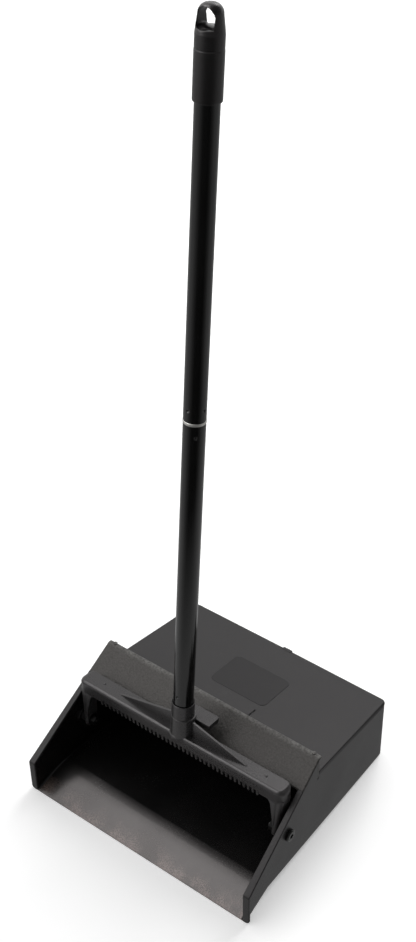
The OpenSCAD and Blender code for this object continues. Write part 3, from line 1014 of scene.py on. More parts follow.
# The pale band along the panel's top edge is partly wear and partly a painted highlight.
PANEL_PLASTIC = MouldedPlastic(
    "panel_plastic_look", 0.012, 0.056, tint=(1.0, 0.98, 0.93), grain_scale=480.0, fleck=1.0,
    rough=(0.38, 0.6), bump=0.0002, worn=WearAndHighlightBand(0.1258, 0.1284, 0.13, 0.9, patch_span=(0.32, 0.6)),
    sheen=(1.0, 0.95, 0.92))
LID_PLASTIC = MouldedPlastic(
    "lid_plastic_look", 0.008, 0.012, tint=(1.0, 0.96, 0.98), grain_scale=1200.0, fleck=0.2,
    rough=(0.34, 0.44), bump=0.00003, scuff=0.55, specular=0.44)
YOKE_PLASTIC = MouldedPlastic(
    "yoke_plastic_look", 0.018, 0.026, tint=(1.0, 0.97, 0.98), grain_scale=1000.0, fleck=0.25,
    rough=(0.24, 0.34), bump=0.00002, specular=0.58)
CAP_PLASTIC = MouldedPlastic(
    "cap_plastic_look", 0.002, 0.005, tint=(1.0, 0.97, 0.99), grain_scale=1100.0, fleck=0.4,
    rough=(0.19, 0.27), specular=0.62)
PLUG_PLASTIC = MouldedPlastic("plug_plastic_look", 0.003, 0.006, rough=(0.4, 0.55), specular=0.3)
LABEL_FILM = MouldedPlastic(
    "label_film_look", 0.004, 0.006, tint=(1.03, 0.95, 1.06), grain_scale=1600.0, fleck=0.2,
    rough=(0.3, 0.4), bump=0.00002, scuff=0.2, specular=0.36)
TUBE_LACQUER = CoatedTube("tube_lacquer_look", 0.001, 0.0025, (0.12, 0.2))
RING_METAL = TurnedMetal("ring_metal_look", 0.7, 0.84, (0.34, 0.46))
SCREW_STEEL = TurnedMetal(
    "screw_steel_look", 0.006, 0.012, (0.18, 0.28), metallic=0.2, stretch=(1800.0, 90.0, 90.0), lean=0.0)
# Washers and nuts are painted near black as shade, since they sit in the dark inside of the pan.
SHADED_WASHER_STEEL = TurnedMetal(
    "washer_steel_look", 0.002, 0.005, (0.4, 0.55), metallic=0.8, stretch=(1800.0, 90.0, 90.0), lean=0.0)


# Pieces


class Assembly:
    """Base of the sub-assemblies: turns shapes into pieces that ride on a body."""

    body = Body.PAN
    crease = 35.0  # degrees past which an edge stays sharp
    face_weight = 80

    def piece(self, name: str, form: Shape | bpy.types.Mesh, finish: Material, slot: Slot,
              nodes: Sequence[str] = ()) -> None:
        """Puts a piece into the scene.

        Args:
            name: name of the piece.
            form: its surface in the frame, as a shape or a finished mesh.
            finish: its material.
            slot: the record's slot that the finish belongs to; not used.
            nodes: CAD nodes that it stands for.
        """
        mesh = form.mesh(name) if isinstance(form, Shape) else form
        mesh.shade_smooth()
        mesh.set_sharp_from_angle(angle=math.radians(self.crease))
        mesh.materials.clear()
        mesh.materials.append(finish)
        made = bpy.data.objects.new(name, mesh)
        bpy.context.scene.collection.objects.link(made)
        even = made.modifiers.new("even_shading", "WEIGHTED_NORMAL")
        even.keep_sharp = True
        even.weight = self.face_weight
        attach(made, self.body.value)
        if nodes:
            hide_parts(*nodes)
        LOG.info("%s: %d faces on %s", name, len(mesh.polygons), self.body.value)


@dataclass
class PanBody(Assembly):
    """Walls, floor, mouth rim and pivot bosses of the pan."""

    corner: float = 0.006
    corner_guide: Pair = (0.14, 0.1)
    corner_room: float = 0.012
    corner_steps: int = 8
    side_steps: int = 40
    edge_steps: int = 5
    lip_thick: float = 0.001
    lip_land: float = 0.006
    lip_edge: float = 0.00045
    crest_depth: float = 0.042
    crest_height: float = 0.0135
    crest_soft: float = 0.0060
    crest_near: float = 0.005
    crest_far: float = 0.006
    ramp_start: float = 0.002
    floor_steps: tuple[int, int, int] = (8, 15, 10)
    floor_thick: float = 0.0026
    floor_fillet: float = 0.0025
    floor_tuck: float = 0.001
    heel_land: float = 0.009
    top_edge: float = 0.0024
    top_inner: float = 0.0004
    foot_edge: float = 0.0012
    rim_thick: float = 0.003
    rim_edge: float = 0.0011
    rim_bend: float = 0.0034
    rim_foot: float = 0.004
    rim_inside: float = 0.0003
    rim_rise: float = 0.008
    rim_gap: float = 0.001
    rim_guide: float = 0.2
    rim_steps: tuple[int, int, int] = (9, 6, 14)
    boss_radius: float = 0.010
    boss_bore: float = 0.0031
    boss_face: float = 0.1392
    boss_root: float = 0.1427
    boss_edge: float = 0.0006
    boss_steps: int = 72
    tiny: float = 0.0001

    body = Body.PAN

    def floor_top(self, y: np.ndarray) -> np.ndarray:
        """Height of the floor's upper face: the lower of ramp and bin floor, with a softened crest.

        Args:
            y: depths.

        Returns:
            One height for each.
        """
        rear = PLAN.wall_rear - PLAN.wall
        ramp = self.lip_thick + (self.crest_height - self.lip_thick) * y / self.crest_depth
        share = (y - self.crest_depth) / (rear - self.crest_depth)
        bin_floor = self.crest_height + (self.floor_thick - self.crest_height) * share
        return -smooth_most(-ramp, -bin_floor, self.crest_soft)

    def floor_under(self, y: np.ndarray) -> np.ndarray:
        """Height of the floor's lower face: on the ground at lip and heel, raised under the crest.

        Args:
            y: depths.

        Returns:
            One height for each.
        """
        crest = self.crest_height - self.floor_thick
        heel = PLAN.wall_rear - self.heel_land
        return np.interp(y, [0, self.lip_land, self.crest_depth, heel, PLAN.depth], [0, 0, crest, 0, 0])

    def seams(self) -> list[float]:
        """Depths where the top of the wall changes: at the panel's edge, at its rear wall and at the lid."""
        low, inner, hood, step = PLAN.panel_low, PLAN.hood - PLAN.panel_thick, PLAN.hood, self.tiny
        return [low - step, low, inner - step, inner, hood + step, hood + 2 * step]

    def wall_top(self, y: np.ndarray) -> np.ndarray:
        """Height of the wall: under the rim, under the front panel and under the lid, straight between.

        Args:
            y: depths.

        Returns:
            One height for each.
        """
        step = self.tiny
        depths = [0, *self.seams(), PLAN.wall_rear]
        _, low_front, low, _, inner, *_ = depths
        under = PLAN.panel_drop + 2 * step
        seat = [PLAN.lid(d) - PLAN.lid_drop - step for d in depths[-2:]]
        heights = [PLAN.mouth(0) - 4 * step, PLAN.mouth(low_front) - 4 * step, PLAN.mouth(low) - under,
                   PLAN.mouth(inner) - under, PLAN.foot - step, PLAN.foot - step, *seat]
        return np.interp(y, depths, heights)

    def walls(self) -> Shape:
        """Side and rear walls in one strip.

        A closed section goes along the plan from the right front round the rear to the left front. It is
        given by the inward distance from the outer face and by heights counted from the foot of the wall, its
        top or the floor, so the section follows all three.

        Returns:
            The closed strip.
        """
        step, wall, fillet = self.tiny, PLAN.wall, self.floor_fillet
        even = np.linspace(4 * step, PLAN.wall_rear - self.corner_room, self.side_steps)
        kinks = [self.lip_land, self.crest_depth, *self.seams(), PLAN.wall_rear - self.heel_land]
        depth = np.unique(np.concatenate([even, kinks]))
        side = np.stack([PLAN.wall_at(depth), depth], axis=1)
        x, y = self.corner_guide
        corners = [(PLAN.rear_half, PLAN.wall_rear), (-PLAN.rear_half, PLAN.wall_rear), (-x, y), (x, y)]
        bend = rounded(corners, self.corner, self.corner_steps)[:self.corner_steps + 1]
        half = np.concatenate([side, bend])
        path = np.concatenate([half, half[::-1] * np.array([-1.0, 1.0])])
        edge, inner, foot = self.top_edge, self.top_inner, self.foot_edge
        soft, hard = quarter_shares(self.edge_steps)
        inset = np.concatenate([foot * hard, edge * soft, wall - inner * hard, wall + fillet * soft,
                                [wall + fillet, wall + fillet]])
        offset = np.concatenate([foot * soft, -edge * hard, -inner * soft, fillet * hard,
                                 [-2 * step, 4 * step]])
        level = np.repeat([0, 1, 2, 0], [len(soft), 2 * len(soft), len(soft) + 1, 1])
        y = path[:, 1]
        levels = np.stack([self.floor_under(y), self.wall_top(y), self.floor_top(y)])
        z = levels[level].T + offset
        flat = path[:, None] - inset[None, :, None] * beside(path)[:, None]
        return swept(np.concatenate([flat, z[..., None]], axis=2)).moved(PLAN.place)

    def floor(self) -> Shape:
        """Floor with the sharp lip and the crest: a side-view outline carried across between the walls.

        Returns:
            The closed slab, ending inside the walls.
        """
        rear, crest = PLAN.wall_rear - PLAN.wall + self.floor_tuck, self.crest_depth
        spans = ((self.ramp_start, crest - self.crest_far),
                 (crest - self.crest_near, crest + self.crest_near), (crest + self.crest_far, rear))
        depth = np.concatenate([np.linspace(*span, steps) for span, steps in zip(spans, self.floor_steps)])
        top = np.stack([depth, self.floor_top(depth)], axis=1)[::-1]
        nose = quarter((self.lip_edge, self.lip_thick - self.lip_edge), self.lip_edge, 1, 2)
        under_depth = np.array([self.lip_land, crest, PLAN.wall_rear - self.heel_land, rear])
        under = np.stack([under_depth, self.floor_under(under_depth) + 2 * self.tiny], axis=1)
        outline = np.concatenate([top, nose, [[0.0, 2 * self.tiny]], under])
        base = PLAN.wall_at(0.0)
        reach = base - PLAN.wall + self.floor_tuck
        slab = plate(outline, -reach, reach, self.tiny, self.tiny, steps=1)
        return PLAN.tapered(slab, base, PLAN.wall_at)

    def rim(self) -> Shape:
        """Right rim: a rounded strip carried up the front edge, round a bend and along the slope.

        Its inner edge follows the wall's inner face and its outer edge the rim's half width, which turns in
        on an arc at the ground.

        Returns:
            The closed strip.
        """
        guide, (foot, upright, sloping) = self.rim_guide, self.rim_steps
        corners = [(0.0, PLAN.cheek), (0.0, 0.0), (guide, 0.0), (guide, PLAN.mouth(guide))]
        radii = [self.rim_bend, self.tiny, self.tiny, self.tiny]
        bend = rounded(corners, radii, self.corner_steps)[:self.corner_steps + 1][::-1]
        rise = np.concatenate([np.linspace(0, self.rim_foot, foot),
                               np.linspace(self.rim_rise, bend[0, 1] - self.rim_gap, upright)])
        slope = np.linspace(bend[-1, 0] + self.rim_gap, PLAN.panel_low - self.tiny, sloping)
        path = np.concatenate([np.stack([0 * rise, rise], axis=1), bend,
                               np.stack([slope, PLAN.mouth(slope)], axis=1)])
        edge, thick = self.rim_edge, self.rim_thick
        soft, hard = quarter_shares(self.edge_steps)
        aside = edge * np.concatenate([hard, soft, hard, soft])
        depth = np.concatenate([edge * soft, thick - edge * hard, thick - edge * soft, edge * hard])
        outer = np.repeat([True, True, False, False], len(soft))
        y, z = path[:, :1], path[:, 1:]
        short = np.maximum(self.rim_foot - z, 0)
        reach = PLAN.rim_at(y) - self.rim_foot + np.sqrt(np.maximum(self.rim_foot ** 2 - short ** 2, 0))
        inside = PLAN.wall_at(y) - PLAN.wall - self.rim_inside
        x = np.where(outer, reach - aside, inside + aside)
        flat = path[:, None] + depth[None, :, None] * beside(path)[:, None]
        return swept(np.concatenate([x[..., None], flat], axis=2)).moved(PLAN.place)

    def boss(self) -> Shape:
        """Right pivot boss: a ring with a round rim, turned about the pivot axis.

        Returns:
            The ring, with its root inside the wall.
        """
        edge, out, bore = self.boss_edge, self.boss_radius, self.boss_bore
        profile = np.concatenate([
            [(bore, self.boss_face), (out - edge, self.boss_face)],
            quarter((out - edge, self.boss_face + edge), edge, -1, 0),
            [(out, self.boss_root), (bore, self.boss_root)]])
        pivot = np.array([0.0, HANDLE.pivot_y, HANDLE.pivot_z])
        return turned(profile, self.boss_steps).moved(lambda p: side_view(p) + pivot)

    def build(self) -> None:
        """Makes the pan and its rim."""
        boss, rim = self.boss(), self.rim()
        walls = Shape.joined([self.walls(), boss, boss.mirrored()])
        self.piece("pan_walls", walls, PAN_PLASTIC.material(), Slot.PAN, ["pan_shell"])
        self.piece("pan_floor", self.floor(), FLOOR_PLASTIC.material(), Slot.PAN)
        self.piece("mouth_rim", Shape.joined([rim, rim.mirrored()]), RIM_PLASTIC.material(), Slot.PAN)


@dataclass
class FrontPanel(Assembly):
    """Grained panel over the mouth with its rear wall, stop lip and lugs."""

    edge: float = 0.0016
    seam: float = 0.0003
    small: float = 0.001
    bend: float = 0.0016
    bend_under: float = 0.003
    bend_top: float = 0.004
    bend_low: float = 0.0012
    steps: int = 5
    stop_depth: float = 0.0947
    stop_half: float = 0.122
    stop_lean: float = 0.0002
    stop_tuck: float = 0.002
    stop_step: float = 5e-5
    lug_radius: float = 0.0023
    lug_height: float = 0.001
    lug_sunk: float = 0.001
    lug_edge: float = 0.0006
    lug_inset: float = 0.009
    lug_steps: int = 36
    tiny: float = 2e-5

    body = Body.PAN

    def carried(self, corners: Sequence[Pair], radii: Sequence[float] | float, half: Curve,
                edge: float) -> Shape:
        """Carries a side-view outline across the pan, out to a half width that varies with depth.

        Args:
            corners: side-view corners, anticlockwise.
            radii: one radius for all corners or one for each.
            half: half width at a depth.
            edge: radius of the end edges.

        Returns:
            The closed slab.
        """
        base = float(half(np.array(PLAN.panel_low)))
        return PLAN.tapered(plate(rounded(corners, radii, self.steps), -base, base, edge, edge), base, half)

    def lug(self) -> Shape:
        """Right lug: a low disc with a round rim, turned about its own axis.

        Returns:
            The disc, sunk into the crown of the panel.
        """
        out, edge, high, top = self.lug_radius, self.lug_edge, self.lug_height, PLAN.panel_top
        profile = np.concatenate([[(MERGE, -self.lug_sunk), (out, -self.lug_sunk)],
                                  quarter((out - edge, high - edge), edge, 0, 1), [(MERGE, high)]])
        across = float(PLAN.rim_at(np.array(top))) - self.lug_inset
        spot = np.array([across, (top + PLAN.hood) / 2, PLAN.mouth(top)])
        return turned(profile, self.lug_steps, closed=False).moved(lambda p: PLAN.place(p + spot))

    def build(self) -> None:
        """Makes the panel."""
        low, top, hood, drop, small = PLAN.panel_low, PLAN.panel_top, PLAN.hood, PLAN.panel_drop, self.small
        inner, crown = hood - PLAN.panel_thick, PLAN.mouth(top)
        sloping = self.carried(
            [(low, PLAN.mouth(low) - drop), (inner, PLAN.mouth(inner) - drop), (hood, crown - drop),
             (hood, crown), (top, crown), (low, PLAN.mouth(low))],
            [small, self.bend_under, small, self.bend, self.bend_top, self.bend_low], PLAN.rim_at, self.edge)
        back, up = hood - self.tiny, crown - drop / 2
        rear = self.carried([(inner, PLAN.foot), (back, PLAN.foot), (back, up), (inner, up)], small,
                            lambda y: PLAN.wall_at(y) - self.tiny, self.seam)
        near, deep, step = self.stop_depth, low + self.stop_tuck, self.stop_step
        stop = self.carried(
            [(near + self.stop_lean, PLAN.mouth(near) - drop), (deep, PLAN.mouth(deep) - drop + step),
             (deep, PLAN.mouth(deep) - step), (near, PLAN.mouth(near))],
            small, lambda y: self.stop_half + 0 * y, self.seam)
        lug = self.lug()
        shape = Shape.joined([sloping, rear, stop, lug, lug.mirrored()])
        self.piece("mouth_panel", shape, PANEL_PLASTIC.material(), Slot.PANEL, ["front_panel"])


@dataclass
class LidCover(Assembly):
    """Lid with a slit in its front edge, a catch bump at the rear and the bare label plate."""

    front: float = 0.1377
    overhang: float = 0.0003
    corner: float = 0.0068
    front_corner: float = 0.0016
    steps: int = 6
    thick: float = 0.0032
    edge: float = 0.0024
    under_edge: float = 0.0010
    slit_at: float = 0.034
    slit_long: float = 0.0339
    slit: float = 0.0012
    slit_corner: float = 0.0005
    label_half: float = 0.038
    label_long: float = 0.0548
    label_inset: float = 0.0476
    label_corner: float = 0.007
    label_proud: float = 0.0003
    label_edge: float = 0.00025
    catch_half: float = 0.0062
    catch_span: Pair = (-0.0042, 0.0005)
    catch_high: float = 0.0007
    catch_edge: float = 0.0009
    crown: float = 0.004

    body = Body.PAN

    def half_at(self, along: float) -> float:
        """Half width of the lid at a distance along it from the rear edge."""
        return float(PLAN.wall_at(PLAN.depth + along * math.cos(PLAN.lid_fall))) + self.overhang

    def laid(self, points: np.ndarray) -> np.ndarray:
        """Lays points on the lid, which falls slightly to both sides of a middle ridge."""
        fall = self.crown * np.abs(points[:, 0])
        return PLAN.on_lid(points - np.stack([0 * fall, 0 * fall, fall], axis=1))

    def ridged(self, corners: Sequence[Pair], radii: Sequence[float] | float, left: int) -> np.ndarray:
        """Rounded outline with a point on the ridge at the rear and another at the front.

        Args:
            corners: corners, anticlockwise, with the first on the front edge right of the ridge.
            radii: one radius for all corners or one for each.
            left: number of the rear corner on the left.

        Returns:
            Outline points.
        """
        outline = rounded(corners, radii, self.steps)
        cut = left * (self.steps + 1)
        rear, front = (0.0, corners[left][1]), (0.0, corners[0][1])
        return np.concatenate([outline[:cut], [rear], outline[cut:], [front]])

    def crossed(self, half: float, low: float, high: float, radius: float) -> np.ndarray:
        """Rounded rectangle with a point on the ridge at each end."""
        return self.ridged([(half, low), (half, high), (-half, high), (-half, low)], radius, 2)

    def cover(self) -> Shape:
        """Lid plate: its outline has the slit in the front edge and a point on the ridge at both ends.

        Returns:
            The plate, whose flat faces meet on the ridge.
        """
        low = (self.front - PLAN.depth) / math.cos(PLAN.lid_fall)
        near, far, root = self.slit_at - self.slit / 2, self.slit_at + self.slit / 2, low + self.slit_long
        wide, slim, cut = self.half_at(low), self.half_at(0), self.slit_corner
        corners = [(near, low), (near, root), (far, root), (far, low), (wide, low), (slim, 0), (-slim, 0),
                   (-wide, low)]
        radii = [cut, cut, cut, cut, self.front_corner, self.corner, self.corner, self.front_corner]
        outline = self.ridged(corners, radii, corners.index((-slim, 0)))
        return self.split(plate(outline, -self.thick, 0, self.under_edge, self.rolled(outline, low)))

    def rolled(self, outline: np.ndarray, low: float) -> np.ndarray:
        """Radius of the upper edge: rolled along the sides and the rear, small at the front and in the slit.

        Args:
            outline: outline points.
            low: place of the front edge.

        Returns:
            One radius for each point.
        """
        back = np.clip((outline[:, 1] - low) / (4 * self.front_corner), 0, 1)
        plain = np.abs(outline[:, 0] - self.slit_at) > self.slit
        return np.where(plain, self.under_edge + (self.edge - self.under_edge) * back, self.under_edge / 2)

    @staticmethod
    def split(shape: Shape) -> Shape:
        """Cuts the flat end faces along X = 0, where the outline has a point on each side.

        Args:
            shape: a plate whose outline passes through X = 0 twice.

        Returns:
            The same plate with each end in two faces.
        """
        ends = []
        for end in shape.ends:
            first, second = np.flatnonzero(np.abs(shape.points[end, 0]) < MERGE)
            ends += [end[first:second + 1], np.concatenate([end[second:], end[:first + 1]])]
        return Shape(shape.points, shape.quads, ends)

    def build(self) -> None:
        """Makes lid and label plate."""
        bump = self.crossed(self.catch_half, *self.catch_span, self.catch_edge)
        catch = self.split(plate(bump, -self.thick / 2, self.catch_high, self.under_edge, self.catch_edge))
        lid = Shape.joined([self.cover(), catch]).moved(self.laid)
        self.piece("lid_cover", lid, LID_PLASTIC.material(), Slot.LID, ["lid"])
        film = self.crossed(self.label_half, -self.label_inset - self.label_long, -self.label_inset,
                            self.label_corner)
        label = self.split(plate(film, -self.thick / 4, self.label_proud, self.under_edge / 4,
                                 self.label_edge))
        self.piece("label_field", label.moved(self.laid), LABEL_FILM.material(), Slot.LABEL, ["label_plate"])


@dataclass
class Yoke(Assembly):
    """Bar with arms, comb, handle socket, gussets and tab."""

    half: float = 0.1392
    front: float = -0.0085
    lip: float = 0.0035
    rear: float = 0.010
    low: float = 0.0430
    high: float = 0.0618
    end_round: float = 0.0085
    end_steps: int = 8
    front_edge: float = 0.0042
    rear_edge: float = 0.0009
    end_edge: float = 0.0058
    top_steps: int = 9
    wall: float = 0.003
    arm_in: float = 0.128
    arm_out: float = 0.133
    arm_edge: float = 0.0008
    arm_round: float = 0.0032
    arm_lap: float = 0.006
    rib_in: float = 0.122
    rib_low: float = 0.014
    rib_lap: float = 0.004
    rib_wide: float = 0.003
    rib_slant: Pair = (0.0008, 0.0003)
    rib_small: float = 0.0005
    rib_bend: float = 0.006
    rib_edge: float = 0.0004
    eye: float = 0.0085
    eye_steps: int = 24
    tooth_pitch: float = 0.00575
    tooth_half: float = 0.0014
    tooth_shares: tuple[float, ...] = (-1, -0.96, -0.8, -0.5, 0, 0.5, 0.8, 0.96, 1)
    tooth_step: float = 2e-5
    tooth_slack: float = 1.0001
    tooth_lean: float = 0.15
    tooth_tip: float = 0.0390
    tooth_root: float = 0.0462
    tooth_count: int = 19
    tooth_edge: float = 0.0004
    socket: float = 0.0146
    socket_shift: Triple = (0.0007, 0.0010, 0.0)
    neck: float = 0.0138
    neck_edge: float = 0.0007
    neck_fillet: float = 0.0004
    collar_edge: float = 0.0006
    socket_low: float = 0.0535
    socket_top: float = 0.0842
    collar: float = 0.0125
    collar_top: float = 0.1020
    tube_seat: float = 0.0111
    stem_steps: int = 128
    flare: float = 0.0018
    bulge_half: float = 0.024
    bulge_back: float = 0.004
    bulge_start: float = 0.001
    bulge_gap: float = 0.0004
    bulge_soft: float = 0.02
    bulge_steps: tuple[int, int, int] = (97, 14, 8)
    gusset_reach: float = 0.086
    gusset_high: float = 0.0798
    gusset_half: float = 0.0015
    gusset_sunk: float = 0.0015
    gusset_lip: float = 0.0002
    gusset_lap: float = 0.001
    gusset_edge: float = 0.0006
    gusset_tip: float = 0.0008
    gusset_bend: float = 0.002
    gusset_steps: int = 4
    tab_right: float = 0.031
    tab_left: float = 0.012
    tab_front: float = 0.0055
    tab_reach: float = 0.0240
    tab_low: float = 0.0740
    tab_high: float = 0.0798
    tab_corners: Pair = (0.0010, 0.0022)
    tab_edge: float = 0.0005
    pip_spot: Pair = (0.110, 0.001)
    pip_radius: float = 0.0016
    pip_sunk: float = 0.0005
    pip_flat: float = 0.5
    pip_open: float = 0.999
    pip_steps: int = 24
    tiny: float = 0.00003

    body = Body.HANDLE

    def lower_edge(self, outline: np.ndarray) -> np.ndarray:
        """Height of the bar's lower edge at each point of its outline.

        It is level, except along the comb on the front, where it jumps between the slots' roots and the
        teeth; a tooth's tip is a half circle.

        Args:
            outline: points across and behind the handle.

        Returns:
            One height for each point.
        """
        x, v = np.abs(outline[:, 0]), outline[:, 1]
        off = np.abs((x / self.tooth_pitch) % 1 - 0.5) * self.tooth_pitch
        tip = self.tooth_tip + self.tooth_half - np.sqrt(np.maximum(self.tooth_half ** 2 - off ** 2, 0))
        comb = np.where(off <= self.tooth_half * self.tooth_slack, tip, self.tooth_root)
        on_comb = (v < self.front + MERGE) & (x < self.tooth_count * self.tooth_pitch)
        return np.where(on_comb, comb, self.low)

    def leaned(self, points: np.ndarray) -> np.ndarray:
        """Leans the front of the bar: out towards its top and back towards the tips of the teeth.

        Args:
            points: points across, behind and along the handle.

        Returns:
            The points, moved forward by the lip times their share of the bar's height, or back below the bar;
            the move fades out towards the rear.
        """
        v, t = points[:, 1], points[:, 2]
        back = self.tooth_lean * np.maximum(self.low - t, 0)
        forward = self.lip * way(t, self.low, self.high)
        move = eased(way(v, self.rear, self.front)) * (back - forward)
        return points + np.stack([0 * v, move, 0 * v], axis=1)

    def bar(self) -> Shape:
        """Bar: a rounded outline carried down inside, round the lower edge, up outside and over a round top.

        The radius of the top edge is the mean of those of front, rear and ends, weighted by the squared parts
        of the outline's outward direction.

        Returns:
            The closed channel, with the comb cut into the lower edge of its front.
        """
        corners = rounded([(self.half, self.front), (self.half, self.rear), (-self.half, self.rear),
                           (-self.half, self.front)], self.end_round, self.end_steps)
        share, step = np.array(self.tooth_shares) * self.tooth_half, self.tooth_step
        tooth = np.concatenate([share, share[[0, -1]] + np.array([-step, step])])
        centres = (np.arange(-self.tooth_count, self.tooth_count) + 0.5) * self.tooth_pitch
        reach = self.tooth_count * self.tooth_pitch
        teeth = (centres[:, None] + tooth[None]).ravel()
        x = np.sort(np.concatenate([teeth, [-reach, -reach - step, reach, reach + step]]))
        outline = np.concatenate([corners, np.stack([x, np.full_like(x, self.front)], axis=1)])
        soft, hard = (part[:, None] for part in quarter_shares(self.top_steps))
        facing, edge = unit(inward(outline)), self.tooth_edge
        side = np.where(facing[:, 1] > 0, self.front_edge, self.rear_edge)
        over = (side * facing[:, 1] ** 2 + self.end_edge * facing[:, 0] ** 2)[None]
        low = self.lower_edge(outline)[None]
        insets = np.concatenate([np.full((2, len(outline)), self.wall), edge * hard + 0 * low, over * soft])
        heights = np.concatenate([np.full_like(low, self.high - self.wall), low, low + edge * soft,
                                  self.high - over * hard])
        return stacked(outline, insets, heights).moved(self.leaned)

    def arm(self) -> Shape:
        """Right arm: a plate with a round eye in the side view, carried across its thickness.

        Returns:
            The arm, flared towards the bar.
        """
        eye, top = self.eye - self.tiny, self.low + self.arm_lap
        outline = np.concatenate([quarter((0.0, 0.0), eye, 2, 4, self.eye_steps), [(eye, top), (-eye, top)]])
        arm = plate(outline, self.arm_in, self.arm_out - self.tiny, self.arm_edge, self.arm_round)
        return arm.moved(side_view).moved(self.flared)

    def flared(self, points: np.ndarray) -> np.ndarray:
        """Widens an arm outwards from the rib's foot up to the end of the bar, most on its outer face.

        Args:
            points: points across, behind and along the handle.

        Returns:
            The points, moved out by the product of both shares and the room beside the arm.
        """
        rise, out = way(points[:, 2], self.rib_low, self.low), way(points[:, 0], self.arm_in, self.arm_out)
        aside = (self.half - 4 * self.tiny - self.arm_out) * rise * out
        return points + np.stack([aside, 0 * aside, 0 * aside], axis=1)

    def rib(self) -> Shape:
        """Right rib: a plate in the front plane, whose inner side runs from the arm to a round corner.

        Returns:
            The plate.
        """
        top, foot, small = self.low + self.rib_lap, self.rib_low - self.rib_lap, self.rib_small
        near, far = self.rib_in - self.rib_wide, self.arm_in + self.rib_wide
        upper, lower = self.rib_in + self.rib_slant[0], self.arm_in + self.rib_slant[1]
        outline = rounded([(top, near), (self.low + small, near), (self.low - self.rib_lap, upper),
                           (foot, lower), (foot, far), (top, far)],
                          [small, small, self.rib_bend, small, small, small])[::-1]
        rib = plate(outline, self.front + self.tiny, self.front + self.wall, small, self.rib_edge)
        return rib.moved(front_view)

    def bulge(self) -> Shape:
        """Front of the socket where it grows out of the bar.

        At each height the face is the larger of the bar's front and a circle, blended; the circle's radius
        swells smoothly from the bar's front to the socket's radius, and the top edge follows the bar's.

        Returns:
            The closed boss.
        """
        half, (across, up, around) = self.bulge_half, self.bulge_steps
        x = np.linspace(-half, half, across)
        soft, hard = quarter_shares(around)
        over = self.front_edge - self.bulge_gap
        rise = np.linspace(self.socket_low, self.high - over, up)
        t = np.concatenate([rise, self.high - self.tiny - over * hard])[:, None]
        inset = np.concatenate([0 * rise, over * soft])[:, None]
        swell = eased(way(t, self.socket_low, self.high - over))
        plane = -self.front + self.lip * (t - self.low) / (self.high - self.low) - self.tiny
        start = plane - self.bulge_start
        radius = start + (self.socket - self.tiny - start) * swell
        circle = np.sqrt(np.maximum(radius ** 2 - x ** 2, 0))
        face = -smooth_most(plane + 0 * circle, circle, self.flare * (self.bulge_soft + swell)) + inset
        rows = np.stack([x + 0 * face, face, t + 0 * face], axis=-1)
        behind = np.full((len(t), 2), self.bulge_back)
        back = np.stack([np.array([half, -half]) + 0 * t, behind, t + np.zeros(2)], axis=-1)
        return swept(np.concatenate([rows, back], axis=1))

    def stem(self) -> Shape:
        """Socket and collar: a stepped profile with round edges turned about the handle axis.

        Returns:
            The stem, with the socket set back under the collar.
        """
        low, edge, fillet, rim = self.high - self.wall, self.neck_edge, self.neck_fillet, self.collar_edge
        profile = np.concatenate([
            [(self.tube_seat, low), (self.socket, low)],
            quarter((self.neck - edge, self.socket_top - edge), edge, 0, 1),
            quarter((self.collar + fillet, self.socket_top + fillet), fillet, 3, 2),
            quarter((self.collar - rim, self.collar_top - rim), rim, 0, 1),
            [(self.tube_seat, self.collar_top - rim)]])
        return turned(profile, self.stem_steps).moved(self.set_back)

    def set_back(self, points: np.ndarray) -> np.ndarray:
        """Moves the socket back and to the right under the collar, by its radius past the collar's."""
        share = way(np.hypot(points[:, 0], points[:, 1]), self.collar, self.socket)[:, None]
        return points + share * np.array(self.socket_shift)

    def gussets(self) -> Shape:
        """Thin plate on both sides of the socket, highest at the socket.

        Returns:
            The plate.
        """
        reach, foot, lip = self.gusset_reach, self.high - self.gusset_sunk, self.high + self.gusset_lip
        top, near, edge = self.gusset_high, self.socket - self.gusset_lap, self.gusset_edge
        outline = rounded([(foot, -reach), (foot, reach), (lip, reach), (top, near), (top, -near),
                           (lip, -reach)],
                          [edge, edge, self.gusset_tip, self.gusset_bend, self.gusset_bend, self.gusset_tip],
                          self.gusset_steps)[::-1]
        return plate(outline, -self.gusset_half, self.gusset_half, edge, edge).moved(front_view)

    def tab(self) -> Shape:
        """Round-cornered tab behind the socket.

        Returns:
            The plate.
        """
        small, large = self.tab_corners
        outline = rounded([(self.tab_right, self.tab_front), (self.tab_right, self.tab_reach),
                           (-self.tab_left, self.tab_reach), (-self.tab_left, self.tab_front)],
                          [small, large, large, small])
        return plate(outline, self.tab_low, self.tab_high, self.tab_edge, self.tab_edge)

    def pip(self) -> Shape:
        """Right gate pip on the bar: a half circle, flattened and turned about its own axis.

        Returns:
            The low dome.
        """
        dome = quarter((0.0, 0.0), self.pip_radius, 0, self.pip_open)
        profile = np.concatenate([[(self.pip_radius, -self.pip_sunk)], dome]) * np.array([1.0, self.pip_flat])
        spot = np.array([*self.pip_spot, self.high])
        return turned(profile, self.pip_steps, closed=False).moved(lambda p: p + spot)

    def build(self) -> None:
        """Makes the yoke."""
        sided = [self.arm(), self.rib(), self.pip()]
        parts = [self.bar(), *sided, *(s.mirrored() for s in sided), self.bulge(), self.stem(),
                 self.gussets(), self.tab()]
        shape = Shape.joined(parts).moved(HANDLE.place)
        self.piece("swing_yoke", shape, YOKE_PLASTIC.material(), Slot.YOKE, ["yoke"])


